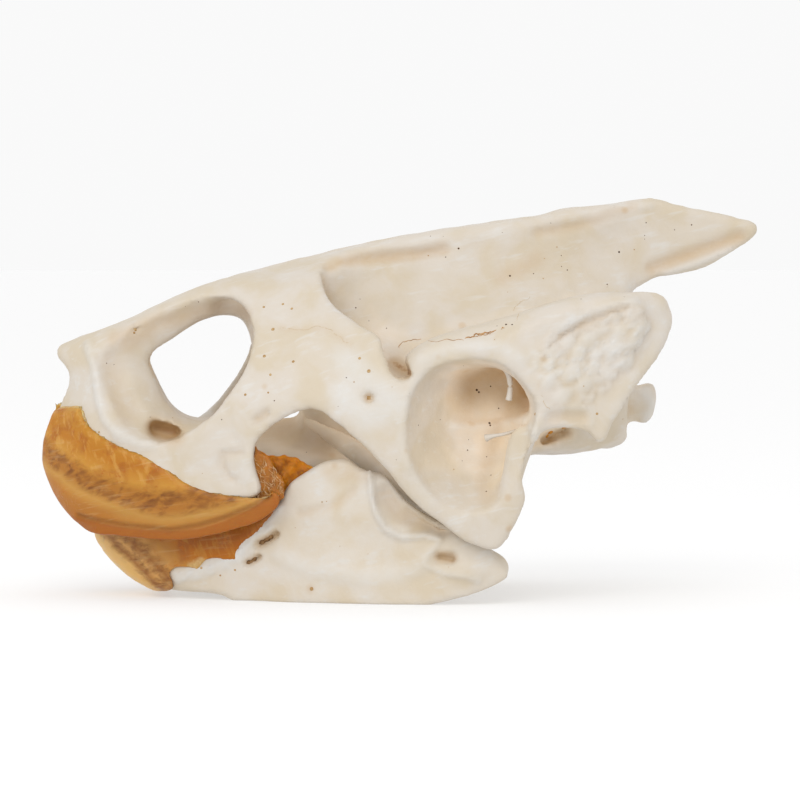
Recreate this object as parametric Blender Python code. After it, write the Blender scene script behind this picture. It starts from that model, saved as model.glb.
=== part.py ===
"""Pond turtle skull with its lower jaw closed and both horny beak sheaths in place.

The skull stands upright on the lower edges of the jaw. The nose points along -X, +Z is up,
and the left side faces -Y. Everything is modelled in millimetres and turned into metres at
the end. An outline is a list of (x, z) points in the side view, and w is the distance from
the middle plane, so the left side lies at y = -w and the right side at y = +w.
"""

import math

import bmesh
import bpy
import numpy as np
from mathutils import Matrix, Vector

# Driving sizes
VOXEL = 0.42
WALL = 1.0
HOLLOW_START = -14.0
BEAK_PROUD = 0.25
BEAK_WALL = 0.75
GAP = 0.32
TO_METRES = 0.001

BONE_COLOUR = (0.80, 0.74, 0.63, 1.0)
JAW_COLOUR = (0.82, 0.76, 0.66, 1.0)
HORN_COLOUR = (0.55, 0.29, 0.08, 1.0)
LOWER_HORN_COLOUR = (0.48, 0.25, 0.08, 1.0)

# Cross sections of the outer surface of the skull, from the snout to the back:
# x, then (w, z) at the roof's middle, roof's edge, upper side, widest level, lower side and bottom
ENVELOPE = (
    (-25.05, (0, 17.0), (0.3, 16.7), (0.4, 13.4), (0.5, 10.2), (0.3, 9.7), (0.05, 9.6)),
    (-24.8, (0, 17.0), (0.5, 16.7), (0.7, 13.4), (1.7, 9.6), (1.2, 8.8), (0.05, 8.5)),
    (-24.3, (0, 17.1), (0.9, 16.8), (1.1, 13.4), (2.8, 9.2), (2.3, 7.8), (0.05, 7.2)),
    (-23.5, (0, 17.4), (1.9, 16.9), (1.9, 13.5), (3.8, 8.8), (3.3, 6.5), (0.05, 5.7)),
    (-22.5, (0, 17.9), (2.8, 17.3), (3.2, 13.5), (4.7, 8.6), (4.2, 5.6), (0.05, 4.5)),
    (-21.0, (0, 18.4), (3.5, 17.7), (4.6, 13.4), (5.7, 8.0), (5.4, 5.4), (5.0, 2)),
    (-19.0, (0, 19.2), (4.0, 18.5), (5.9, 13.5), (6.6, 8.0), (6.3, 5.4), (5.9, 2)),
    (-17.0, (0, 20.1), (4.1, 19.5), (6.9, 13.7), (7.3, 8.1), (7.0, 5.5), (6.5, 2)),
    (-15.0, (0, 20.95), (4.1, 20.4), (7.7, 14.0), (7.9, 8.2), (7.6, 5.6), (7.1, 2)),
    (-13.0, (0, 21.75), (4.2, 21.0), (8.4, 14.3), (8.5, 8.3), (8.2, 5.7), (7.7, 2)),
    (-11.0, (0, 22.4), (4.8, 21.25), (9.0, 14.5), (9.1, 8.2), (8.8, 5.6), (8.3, 2)),
    (-9.0, (0, 22.95), (5.4, 21.2), (9.7, 14.7), (9.8, 8.2), (9.5, 5.6), (9.0, 2)),
    (-7.0, (0, 23.45), (6.0, 21.4), (10.3, 15.0), (10.4, 8.6), (10.1, 6.0), (9.6, 2)),
    (-5.0, (0, 23.7), (6.6, 21.5), (10.9, 15.0), (11.1, 9.0), (10.8, 6.4), (10.3, 2)),
    (-3.0, (0, 24.2), (7.6, 21.4), (11.5, 14.9), (11.7, 8.9), (11.4, 6.3), (11.0, 2)),
    (-1.0, (0, 24.6), (8.6, 21.5), (12.0, 15.3), (12.3, 9.8), (12.0, 7.2), (11.5, 2)),
    (1.0, (0, 25.1), (9.6, 22.0), (12.5, 15.7), (12.8, 10.7), (12.4, 8.1), (11.8, 2)),
    (4.0, (0, 25.8), (10.6, 22.7), (13.0, 16.7), (13.3, 11.2), (12.8, 8.6), (12.0, 2)),
    (7.0, (0, 26.5), (11.2, 23.5), (13.2, 17.6), (13.6, 11.6), (13.0, 9.0), (12.2, 2)),
    (10.0, (0, 27.5), (11.4, 24.5), (13.0, 18.2), (13.4, 11.7), (12.9, 9.1), (12.2, 2)),
    (13.0, (0, 28.5), (11.0, 25.1), (12.1, 18.3), (12.8, 11.8), (12.5, 9.2), (12.0, 2)),
    (16.0, (0, 29.5), (10.3, 25.7), (11.0, 18.5), (11.9, 11.9), (11.7, 9.3), (11.2, 2)),
    (19.0, (0, 29.5), (9.4, 25.8), (9.9, 18.7), (10.8, 12.0), (10.7, 9.4), (10.4, 2)),
    (21.5, (0, 29.5), (8.4, 26.0), (9.0, 18.8), (9.8, 12.2), (9.8, 9.6), (9.6, 2)),
)

# Side outline of the outer bones: roof, temple, ear rim, squamosal, quadrate, cheek notch, upper jaw
OUTER_BONES = (
    (-24.7, 17.0), (-23.8, 19.2), (-14.0, 23.4), (-5.4, 26.0), (-4.9, 23.8), (-5.6, 22.7),
    (-5.1, 20.6), (-3.4, 19.1), (-1.9, 18.2), (-1.5, 17.1), (-1.2, 16.1), (-0.4, 15.5),
    (0.6, 15.7), (1.6, 16.7), (2.7, 17.5), (4.4, 17.9), (6.7, 18.5), (9.0, 19.7),
    (10.7, 20.5), (13.1, 20.9), (15.6, 21.2), (17.0, 21.1), (17.8, 20.4), (18.1, 19.0),
    (17.5, 17.5), (16.2, 15.6), (15.0, 14.2), (13.7, 11.8), (12.9, 10.1), (12.0, 11.6),
    (10.7, 12.1), (9.2, 11.9), (8.4, 11.1), (7.9, 9.9), (7.7, 8.5), (8.0, 7.4),
    (7.4, 5.7), (6.4, 4.1), (5.5, 3.8), (3.8, 4.4), (2.4, 5.5), (1.2, 6.3),
    (0.0, 7.3), (-1.2, 8.9), (-2.4, 10.2), (-3.9, 11.6), (-5.3, 12.7), (-6.2, 13.3),
    (-7.2, 13.1), (-8.3, 12.6), (-9.4, 11.8), (-10.1, 11.0), (-10.3, 9.9), (-10.1, 8.8),
    (-9.8, 7.4), (-11.6, 6.9), (-14.4, 6.2), (-17.0, 5.9), (-20.0, 5.9), (-22.6, 6.0),
    (-24.0, 6.8), (-24.6, 8.2), (-24.7, 9.9), (-24.3, 11.6), (-23.5, 13.1), (-22.9, 14.2),
    (-22.6, 15.0), (-23.2, 15.8),
)

# Side outline of the solid part of the snout, with the floor under the eyes
SNOUT_CORE = (
    (-25.6, 4.0), (-9.9, 4.0), (-9.9, 10.4), (-12.5, 11.8), (-13.8, 12.5), (-14.4, 22.9), (-25.6, 19.4),
)

# The eye socket: (x, z, w) round its rim, and (x, z) of the matching point near the middle plane
SOCKET = (
    ((-20.6, 17.1, 4.3), (-17.1, 17.0)),
    ((-19.0, 18.5, 4.2), (-16.3, 17.6)),
    ((-16.9, 19.7, 4.2), (-15.0, 18.5)),
    ((-15.0, 20.4, 4.2), (-13.7, 19.2)),
    ((-13.0, 20.7, 4.4), (-12.4, 19.5)),
    ((-11.3, 20.4, 5.2), (-11.2, 19.4)),
    ((-10.5, 19.2, 6.3), (-10.7, 18.6)),
    ((-10.5, 17.2, 8.0), (-10.7, 17.0)),
    ((-11.5, 15.1, 8.8), (-11.5, 14.8)),
    ((-13.1, 12.9, 8.4), (-12.9, 12.4)),
    ((-15.1, 11.5, 7.7), (-14.8, 12.4)),
    ((-17.2, 10.8, 7.0), (-16.1, 13.3)),
    ((-19.3, 11.8, 6.2), (-16.8, 14.6)),
    ((-20.5, 13.5, 5.5), (-17.2, 15.5)),
    ((-21.1, 15.5, 4.7), (-17.4, 16.3)),
)
SOCKET_INNER_W = 2.9
SOCKET_BULGE = 0.5

# Hollows on the middle plane: (x, z, half width, half height) through the nose and into the braincase
NOSE_TUNNEL = (
    (-27.0, 14.9, 3.0, 1.9), (-22.5, 15.5, 2.7, 1.7), (-20.0, 16.0, 2.6, 2.0),
    (-17.5, 16.4, 2.4, 2.4), (-14.0, 16.8, 2.4, 2.2),
)
BRAIN_HOLLOW = ((20.0, 17.6, 2.0, 1.9), (15.0, 17.2, 1.9, 1.9), (10.0, 16.4, 1.9, 2.0), (6.0, 16.0, 1.2, 1.2))

# The vault of the mouth: its centre, then its radii
MOUTH_VAULT = ((-13.0, 0.0, 4.0), (9.6, 5.4, 4.6))

# Braincase and parietal: x, then (w, z) from the top ridge down to the base
BRAINCASE = (
    (-6.9, (0, 23.1), (2.4, 22.4), (2.3, 20.5), (2.2, 18.3), (2.4, 15.7), (2.6, 13.2), (2.4, 10.2)),
    (-5.0, (0, 23.7), (3.2, 22.9), (3.4, 21.5), (3.0, 19.3), (3.0, 17.1), (3.2, 14.1), (3.0, 10.1)),
    (-3.0, (0, 24.2), (2.1, 23.8), (2.7, 22.1), (3.2, 19.7), (3.8, 17.2), (4.0, 14.2), (3.2, 10.1)),
    (0.0, (0, 24.7), (1.6, 24.4), (2.3, 22.4), (3.3, 20.0), (4.7, 17.6), (5.0, 14.1), (3.6, 10.1)),
    (4.0, (0, 25.6), (1.4, 25.3), (1.9, 23.3), (3.0, 20.8), (5.0, 18.4), (5.7, 14.8), (4.3, 10.0)),
    (8.0, (0, 26.3), (1.3, 26.0), (1.6, 24.1), (2.4, 21.8), (4.6, 19.4), (5.8, 15.8), (4.4, 10.3)),
    (11.0, (0, 26.8), (1.1, 26.6), (1.2, 24.8), (1.7, 22.5), (3.4, 20.1), (5.2, 16.4), (4.0, 10.3)),
    (14.0, (0, 27.3), (0.9, 27.1), (0.8, 25.2), (1.0, 22.9), (2.4, 19.8), (4.2, 16.2), (3.0, 10.6)),
    (15.8, (0, 27.5), (0.8, 27.3), (0.6, 25.3), (0.7, 23.0), (1.6, 19.7), (3.2, 16.1), (2.0, 11.2)),
)

# Side outline of the crest behind the braincase
CREST = (
    (9.0, 26.1), (14.0, 27.15), (16.1, 27.5), (18.0, 27.8), (19.1, 27.5), (21.5, 26.9), (23.9, 26.3),
    (25.0, 26.0), (25.4, 25.4), (24.8, 24.7), (23.4, 24.1), (21.5, 23.2), (19.0, 22.1), (17.5, 21.6),
    (16.5, 21.0), (15.4, 19.8), (13.0, 19.0), (9.0, 20.5),
)
CREST_HALF = 0.55

# Side outline of the ridge that hangs under the roof between the eyes
ROOF_RIDGE = (
    (-15.0, 18.6), (-13.7, 19.2), (-12.4, 19.5), (-11.2, 19.4), (-10.6, 18.6), (-10.2, 16.6),
    (-8.6, 14.6), (-6.2, 13.4), (-6.0, 22.4), (-15.0, 20.2),
)
ROOF_RIDGE_HALF = 2.4

# The knob for the neck joint and the base of the skull in front of it
CONDYLE = (
    (13.5, 15.0), (16.4, 14.7), (17.5, 14.8), (18.2, 14.5), (18.3, 13.8), (17.9, 12.5), (17.3, 11.5),
    (16.7, 11.4), (16.4, 12.0), (15.9, 12.3), (15.4, 12.0), (15.4, 11.3), (16.0, 10.9), (15.6, 10.3),
    (13.5, 10.4),
)
CONDYLE_HALF = 1.4

# Palate and pterygoids: x, half width, top and bottom
PALATE = (
    (-15.0, 6.0, 10.6, 8.4),
    (-12.0, 6.4, 10.8, 8.3),
    (-10.0, 6.0, 11.2, 8.3),
    (-8.0, 5.4, 11.8, 8.4),
    (-6.0, 4.8, 12.2, 8.6),
    (-3.0, 3.6, 12.2, 8.8),
    (1.0, 3.6, 12.0, 9.0),
    (5.0, 5.0, 12.0, 9.2),
    (9.0, 5.2, 12.0, 9.8),
    (12.5, 3.6, 12.2, 10.2),
    (15.4, 2.6, 12.4, 10.6),
)

# Ear region between the braincase and the outer wall: its side outline, and (w, scale) steps
EAR_BLOCK = (
    (-0.4, 12.0), (-0.3, 15.0), (1.0, 16.8), (3.0, 17.8), (6.0, 18.5), (9.0, 19.5), (12.0, 20.3),
    (15.4, 20.7), (17.2, 20.0), (17.0, 18.0), (15.4, 15.2), (13.2, 12.3), (9.6, 11.3), (7.6, 9.6),
    (6.6, 7.0), (3.4, 6.2), (0.8, 8.0), (-0.3, 10.0),
)
EAR_BLOCK_CENTRE = (6.9, 15.0)
EAR_BLOCK_STEPS = ((3.0, 0.66), (6.0, 0.82), (9.0, 0.97), (11.0, 0.98), (12.4, 0.9))

# The ear's funnel, carved from outside: its rim, then w, scale and centre of each step inwards
EAR_RIM = (
    (-0.7, 13.4), (-0.4, 15.2), (0.9, 16.5), (2.6, 17.1), (4.4, 17.2), (5.8, 17.0), (7.0, 16.3),
    (7.9, 15.4), (8.6, 14.1), (8.6, 12.9), (8.0, 11.0), (7.6, 9.4), (6.9, 7.6), (5.4, 6.3),
    (3.4, 5.9), (1.7, 6.5), (0.2, 7.9), (-0.5, 9.8), (-0.7, 11.6),
)
EAR_STEPS = (
    (17.0, 1.04, 4.0, 11.8),
    (13.2, 0.99, 4.0, 11.8),
    (11.8, 0.84, 4.4, 12.1),
    (10.4, 0.68, 4.9, 12.6),
    (9.0, 0.50, 5.5, 13.3),
    (7.8, 0.30, 6.0, 14.0),
)
EAR_POCKET = ((8.3, 9.9, 15.2), (3.3, 1.9, 2.2))

# The quadrate's foot, down to the jaw joint: z, then centre x, w and radii in x, y
QUADRATE_FOOT = (
    (11.5, 4.6, 8.8, 4.4, 3.8),
    (9.0, 4.4, 9.2, 3.7, 3.4),
    (7.0, 5.0, 9.6, 2.6, 2.9),
    (5.4, 5.4, 9.8, 1.8, 2.7),
    (4.2, 5.6, 9.8, 1.3, 2.4),
)

# The rounded pillar behind the funnel: (x, w, z), then its radius
EAR_PILLAR = (
    ((8.9, 12.5, 12.2), 0.55),
    ((7.7, 12.2, 11.0), 0.75),
    ((7.1, 12.0, 9.2), 0.85),
    ((6.8, 11.9, 7.4), 0.85),
    ((6.4, 11.6, 5.9), 0.85),
)

# The thin rod in the ear: (x, w, z), then its radius
EAR_ROD = (
    ((7.0, 11.3, 15.3), 0.28),
    ((7.15, 11.4, 14.2), 0.2),
    ((7.4, 11.5, 12.8), 0.24),
)

# Side outline of the upper beak sheath
UPPER_BEAK = (
    (-23.6, 13.3), (-22.5, 13.6), (-21.8, 13.0), (-21.1, 12.0), (-20.3, 11.2), (-19.2, 10.8),
    (-17.7, 10.3), (-16.5, 9.6), (-15.2, 8.8), (-13.9, 8.3), (-11.9, 8.0), (-10.3, 7.9),
    (-9.2, 8.2), (-8.5, 7.8), (-8.7, 6.9), (-10.0, 5.9), (-11.9, 4.8), (-14.6, 4.3),
    (-16.5, 4.2), (-19.9, 4.3), (-21.2, 4.0), (-22.4, 4.6), (-23.5, 5.8), (-24.3, 7.2),
    (-24.9, 8.6), (-25.4, 10.1), (-24.8, 11.9),
)

# The lower jaw seen from the side, with the part that the lower sheath hides
JAW = (
    (-20.2, 4.4), (-19.8, 3.2), (-18.2, 1.7), (-17.0, 0.9), (-16.0, 0.5), (-14.0, 0.45), (-12.3, 0.3),
    (-11.8, -0.05), (-10.2, -0.1), (-6.2, -0.1), (-1.6, -0.15), (0.6, -0.15), (2.3, 0.1), (4.6, 0.7),
    (6.1, 1.3), (7.0, 1.9), (6.8, 2.3), (6.1, 2.9), (5.4, 4.0), (3.8, 4.7), (3.0, 5.3),
    (1.5, 6.0), (0.0, 7.0), (-0.8, 8.0), (-1.5, 8.8), (-2.4, 8.9), (-3.3, 9.3), (-3.9, 9.8),
    (-4.6, 9.8), (-5.6, 9.6), (-6.7, 8.9), (-7.8, 8.2), (-8.4, 7.2), (-9.2, 6.0), (-10.4, 5.4),
    (-13.0, 5.0), (-17.0, 4.9), (-19.6, 5.0),
)

# Outer surface of the lower jaw: x, then (w, z) at the top, two middle levels and the lower edge
JAW_ENVELOPE = (
    (-21.1, (0.3, 7), (0.3, 4.6), (0.2, 4.3), (0, 4.2)),
    (-20.8, (1.3, 7), (1.2, 4.4), (0.7, 3.7), (0, 3.5)),
    (-20.0, (2.5, 7), (2.3, 4.2), (1.5, 2.9), (0, 2.5)),
    (-19.0, (3.4, 7), (3.2, 4.0), (2.3, 2.0), (0, 1.5)),
    (-18.0, (4.1, 7), (3.9, 3.9), (3.0, 1.4), (0, 0.8)),
    (-17.0, (4.6, 7), (4.5, 3.8), (3.6, 1.0), (0, 0.4)),
    (-16.0, (5.1, 7), (5.0, 3.7), (4.1, 0.8), (0, 0.2)),
    (-15.0, (5.5, 7), (5.4, 3.7), (4.7, 0.4), (0, -0.6)),
    (-13.0, (6.2, 8), (6.2, 4.0), (5.7, 0.0), (4.5, -2)),
    (-11.0, (7.0, 9), (7.0, 4.0), (6.6, 0.0), (6.4, -2)),
    (-9.0, (7.9, 10), (7.9, 5.0), (7.5, 1.0), (7.3, -2)),
    (-7.0, (8.7, 11), (8.8, 5.0), (8.4, 1.0), (8.2, -2)),
    (-5.0, (9.3, 11), (9.5, 5.0), (9.2, 1.0), (9.0, -2)),
    (-2.0, (10.0, 11), (10.3, 5.0), (10.1, 1.0), (9.9, -2)),
    (1.0, (10.5, 10), (10.8, 4.0), (10.6, 1.0), (10.5, -2)),
    (4.0, (10.7, 9), (11.0, 3.0), (10.9, 1.0), (10.8, -2)),
    (8.0, (10.7, 9), (11.0, 3.0), (10.9, 1.0), (10.8, -2)),
)
JAW_WALL = 1.7
JAW_INNER_START = -15.0
JAW_INNER_ROUND = 2.6
JAW_HOLLOW = ((0.2, 12.0, 6.5), (2.3, 1.5, 2.2))
SYMPHYSIS = ((-16.9, 0, 3.4), (3.4, 4.6, 1.9))
JAW_JOINT = ((4.2, 9.4, 2.4), (2.9, 2.0, 1.5))

# Side outline of the lower beak sheath
LOWER_BEAK = (
    (-21.6, 4.4), (-21.0, 3.4), (-19.9, 2.1), (-18.6, 1.1), (-17.5, 0.5), (-16.6, 0.3), (-16.0, 0.5),
    (-15.7, 0.8), (-16.1, 1.3), (-16.0, 1.9), (-15.2, 2.2), (-14.1, 2.1), (-13.5, 2.8), (-11.9, 2.7),
    (-11.4, 3.5), (-10.3, 4.7), (-9.2, 5.9), (-9.0, 6.6), (-10.0, 6.6), (-12.0, 5.8), (-15.0, 5.4),
    (-18.5, 5.4), (-21.3, 5.3),
)


def spline(points, steps=4, closed=True):
    """Points on a smooth curve through the given points, of any dimension."""
    p = [np.array(q, float) for q in points]
    n = len(p)
    out = []
    for i in range(n if closed else n - 1):
        if closed:
            a, b, c, d = p[i - 1], p[i], p[(i + 1) % n], p[(i + 2) % n]
        else:
            a, b, c, d = p[max(i - 1, 0)], p[i], p[i + 1], p[min(i + 2, n - 1)]
        for k in range(steps):
            t = k / steps
            out.append(0.5 * (2 * b + (c - a) * t + (2 * a - 5 * b + 4 * c - d) * t**2
                              + (3 * b - a - 3 * c + d) * t**3))
    if not closed:
        out.append(p[-1])
    return out


def new_object(name, mesh):
    made = bpy.data.objects.new(name, mesh)
    bpy.context.scene.collection.objects.link(made)
    return made


def baked(obj):
    """The object with its modifiers applied to its mesh."""
    bpy.context.view_layer.update()
    graph = bpy.context.evaluated_depsgraph_get()
    mesh = bpy.data.meshes.new_from_object(obj.evaluated_get(graph))
    obj.modifiers.clear()
    old = obj.data
    obj.data = mesh
    if old.users == 0:
        bpy.data.meshes.remove(old)
    return obj


def finish_bmesh(name, bm):
    bmesh.ops.remove_doubles(bm, verts=bm.verts, dist=1e-4)
    bmesh.ops.recalc_face_normals(bm, faces=bm.faces)
    mesh = bpy.data.meshes.new(name)
    bm.to_mesh(mesh)
    bm.free()
    return new_object(name, mesh)


def loft(name, rings):
    """A closed body through rings that have the same number of points each."""
    bm = bmesh.new()
    made = [[bm.verts.new(Vector(p)) for p in ring] for ring in rings]
    for a, b in zip(made, made[1:]):
        n = len(a)
        for i in range(n):
            bm.faces.new((a[i], a[(i + 1) % n], b[(i + 1) % n], b[i]))
    bm.faces.new(made[0])
    bm.faces.new(made[-1])
    return finish_bmesh(name, bm)


def prism(name, loops, half_depth=30.0):
    """Side outlines filled and pushed through the skull along Y. A second loop is a hole."""
    curve = bpy.data.curves.new(name, "CURVE")
    curve.dimensions = "2D"
    curve.fill_mode = "BOTH"
    curve.extrude = half_depth
    for loop in loops:
        line = curve.splines.new("POLY")
        line.points.add(len(loop) - 1)
        for point, (x, z) in zip(line.points, loop):
            point.co = (x, z, 0, 1)
        line.use_cyclic_u = True
    flat = new_object(name, curve)
    bpy.context.view_layer.update()
    graph = bpy.context.evaluated_depsgraph_get()
    mesh = bpy.data.meshes.new_from_object(flat.evaluated_get(graph))
    bpy.data.objects.remove(flat)
    bpy.data.curves.remove(curve)
    mesh.transform(Matrix.Rotation(math.pi / 2, 4, "X"))
    bm = bmesh.new()
    bm.from_mesh(mesh)
    bpy.data.meshes.remove(mesh)
    return finish_bmesh(name, bm)


def ellipse(centre, radii, at, count=32):
    """A ring round a centre; at(u, v) says where its two coordinates go in space."""
    turn = [2 * math.pi * i / count for i in range(count)]
    return [at(centre[0] + radii[0] * math.cos(a), centre[1] + radii[1] * math.sin(a)) for a in turn]


def tunnel(name, stations):
    """A straight hollow on the middle plane: (x, z, half width, half height) along it."""
    return loft(name, [
        ellipse((0, z), (ry, rz), lambda u, v, x=x: (x, u, v), 24) for x, z, ry, rz in stations
    ])


def ellipsoid(name, centre, radii, segments=32):
    bm = bmesh.new()
    bmesh.ops.create_uvsphere(bm, u_segments=segments, v_segments=segments // 2, radius=1.0)
    place = Matrix.Translation(centre) @ Matrix.Diagonal((*radii, 1.0))
    bmesh.ops.transform(bm, matrix=place, verts=bm.verts)
    return finish_bmesh(name, bm)


def tube(name, stations, count=12):
    """A round bar through ((x, w, z), radius) stations on the left side."""
    line = spline([(x, -w, z, r) for (x, w, z), r in stations], 4, closed=False)
    rings = []
    for i, (x, y, z, r) in enumerate(line):
        ahead = line[min(i + 1, len(line) - 1)][:3] - line[max(i - 1, 0)][:3]
        facing = Vector(ahead).to_track_quat("Z", "Y").to_matrix()
        ring = []
        for k in range(count):
            a = 2 * math.pi * k / count
            ring.append(Vector((x, y, z)) + facing @ Vector((r * math.cos(a), r * math.sin(a), 0)))
        rings.append(ring)
    return loft(name, rings)


def mirrored(obj):
    """A copy on the other side of the middle plane."""
    mesh = obj.data.copy()
    mesh.transform(Matrix.Diagonal((1, -1, 1, 1)))
    mesh.flip_normals()
    return new_object(obj.name + "_right", mesh)


def combine(target, other, operation):
    """A Boolean of the target with another object, which is used up."""
    step = target.modifiers.new(operation, "BOOLEAN")
    step.operation = operation
    step.solver = "EXACT"
    step.object = other
    baked(target)
    bpy.data.objects.remove(other)
    return target


def fuse(name, objects, voxel=VOXEL):
    """One skin round overlapping bodies, which are used up."""
    bm = bmesh.new()
    for obj in objects:
        bm.from_mesh(obj.data)
        bpy.data.objects.remove(obj)
    mesh = bpy.data.meshes.new(name)
    bm.to_mesh(mesh)
    bm.free()
    body = new_object(name, mesh)
    step = body.modifiers.new("skin", "REMESH")
    step.mode = "VOXEL"
    step.voxel_size = voxel
    step.adaptivity = 0.0
    return baked(body)


def edges_of(mesh):
    ends = np.empty(len(mesh.edges) * 2, np.int32)
    mesh.edges.foreach_get("vertices", ends)
    return ends.reshape(-1, 2)


def coordinates(mesh):
    co = np.empty(len(mesh.vertices) * 3, np.float32)
    mesh.vertices.foreach_get("co", co)
    return co.reshape(-1, 3).astype(float)


def soften(obj, rounds, hollow_rounds):
    """Relaxes the skin. Hollows go on softening after the rims have stopped."""
    mesh = obj.data
    ends = edges_of(mesh)
    co = coordinates(mesh)
    count = np.bincount(ends.ravel(), minlength=len(co))[:, None]
    for turn in range(max(rounds, hollow_rounds)):
        total = np.zeros_like(co)
        np.add.at(total, ends[:, 0], co[ends[:, 1]])
        np.add.at(total, ends[:, 1], co[ends[:, 0]])
        move = total / count - co
        if turn >= rounds:
            mesh.vertices.foreach_set("co", co.astype(np.float32).ravel())
            mesh.update()
            normal = np.empty(len(co) * 3, np.float32)
            mesh.vertices.foreach_get("normal", normal)
            outward = (move * normal.reshape(-1, 3)).sum(1)
            move[outward <= 0.004] = 0
        co += 0.5 * move
    mesh.vertices.foreach_set("co", co.astype(np.float32).ravel())
    mesh.update()
    return obj


def keep_largest(obj):
    """Drops loose crumbs and sealed inner skins."""
    bm = bmesh.new()
    bm.from_mesh(obj.data)
    bm.verts.ensure_lookup_table()
    seen = set()
    groups = []
    for start in bm.verts:
        if start.index in seen:
            continue
        group = [start]
        seen.add(start.index)
        for vert in group:
            for edge in vert.link_edges:
                other = edge.other_vert(vert)
                if other.index not in seen:
                    seen.add(other.index)
                    group.append(other)
        groups.append(group)
    groups.sort(key=len)
    for group in groups[:-1]:
        bmesh.ops.delete(bm, geom=group, context="VERTS")
    bm.to_mesh(obj.data)
    bm.free()
    return obj


def thinned(obj, triangles):
    """Fewer, larger triangles where the surface is nearly flat."""
    split = obj.modifiers.new("triangles", "TRIANGULATE")
    split.quad_method = "BEAUTY"
    baked(obj)
    step = obj.modifiers.new("thin", "DECIMATE")
    step.ratio = min(1.0, triangles / len(obj.data.polygons))
    step.use_symmetry = False
    return baked(obj)


def envelope_rings():
    rings = []
    for x, *half in ENVELOPE:
        line = spline(half, 6, closed=False)
        left = [(x, -w, z) for w, z in line]
        right = [(x, w, z) for w, z in reversed(line) if w > 0]
        rings.append(left + right)
    return rings


def hollow_rings(inset):
    """Rings of the space inside the outer bones, from behind the eyes to beyond the back."""
    rings = []
    for x, *half in ENVELOPE:
        if x < HOLLOW_START:
            continue
        line = spline(half, 6, closed=False)
        moved = []
        for i, (w, z) in enumerate(line):
            along = line[min(i + 1, len(line) - 1)] - line[max(i - 1, 0)]
            along = along / np.linalg.norm(along)
            moved.append((max(w + inset * along[1], 0.0), z - inset * along[0]))
        moved[0] = (0.0, line[0][1] - inset)
        moved[-1] = (moved[-1][0], -2.0)
        left = [(x, -w, z) for w, z in moved]
        right = [(x, w, z) for w, z in reversed(moved) if w > 0]
        rings.append(left + right)
    behind = [(x + 4.0, y, z) for x, y, z in rings[-1]]
    return rings + [behind]


def smooth_rings(rings, steps=4):
    """More rings between the given ones, on smooth curves."""
    flat = spline([np.array(ring).ravel() for ring in rings], steps, closed=False)
    return [ring.reshape(-1, 3) for ring in flat]


def section_loft(name, sections, steps=4):
    """A closed body from (x, (w, z) ...) half sections, mirrored about the middle plane."""
    rings = []
    for x, *half in sections:
        line = spline(half, 3, closed=False)
        left = [(x, -w, z) for w, z in line]
        right = [(x, w, z) for w, z in reversed(line) if w > 0]
        rings.append(left + right)
    return loft(name, smooth_rings(rings, steps))


def both_sides(obj):
    return [obj, mirrored(obj)]


def socket_cutter():
    rim = spline([r for r, _ in SOCKET], 3)
    inner = spline([i for _, i in SOCKET], 3)
    centre = np.mean([i for _, i in SOCKET], axis=0)
    rings = [[], [], [], [], []]
    for (x, z, w), (u, v) in zip(rim, inner):
        out = np.array((x, z)) - centre
        out = out / np.linalg.norm(out)
        middle = 0.5 * (np.array((x, z)) + np.array((u, v))) + SOCKET_BULGE * out
        rings[0].append((x + 0.6 * out[0], -(w + 8), z + 0.6 * out[1]))
        rings[1].append((x, -w, z))
        rings[2].append((middle[0], -0.5 * (w + SOCKET_INNER_W), middle[1]))
        rings[3].append((u, -SOCKET_INNER_W, v))
        rings[4].append((u + 0.15 * out[0], 0.4, v + 0.15 * out[1]))
    return loft("socket_cutter", rings)


def scaled_rings(outline, steps):
    """Rings of one outline at (w, scale, centre x, centre z) steps on the left side."""
    line = spline(outline, 2)
    middle = np.mean(line, axis=0)
    rings = []
    for w, scale, x, z in steps:
        moved = [(np.array(p) - middle) * scale + (x, z) for p in line]
        rings.append([(u, -w, v) for u, v in moved])
    return rings


def clearance(obj, gap=GAP):
    """A body that reaches a little further than the object all round."""
    grown = new_object("clearance", obj.data.copy())
    step = grown.modifiers.new("grow", "DISPLACE")
    step.strength = gap
    step.mid_level = 0.0
    baked(grown)
    return fuse("clearance", [grown], VOXEL)


def sheath(name, rings, outline, proud, wall):
    """A horny sheath over an envelope, inside a side outline."""
    skin = loft(name, rings)
    grow = skin.modifiers.new("proud", "DISPLACE")
    grow.strength = proud
    grow.mid_level = 0.0
    baked(skin)
    step = skin.modifiers.new("wall", "SOLIDIFY")
    step.thickness = wall
    step.offset = -1.0
    step.use_even_offset = True
    baked(skin)
    return combine(skin, prism("outline", [spline(outline, 2)]), "INTERSECT")


def jaw_rings(inset=0.0):
    """Rings of the jaw's outer surface, or of the space between its two branches."""
    rings = []
    for x, *half in JAW_ENVELOPE:
        behind = x - JAW_INNER_START
        if inset and behind < 0:
            continue
        narrow = inset + JAW_INNER_ROUND / (1.0 + behind) if inset else 0.0
        line = spline(half, 5, closed=False)
        if inset:
            line = [(max(w - narrow, 0.3), z) for w, z in line]
            line[-1] = (line[-1][0], -2.5)
        left = [(x, -w, z) for w, z in line]
        right = [(x, w, z) for w, z in reversed(line)]
        if not inset and half[-1][0] == 0:
            right = [(x, max(w, 0.02), z) for w, z in reversed(line)]
        rings.append(left + right)
    return smooth_rings(rings, 2)


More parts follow.
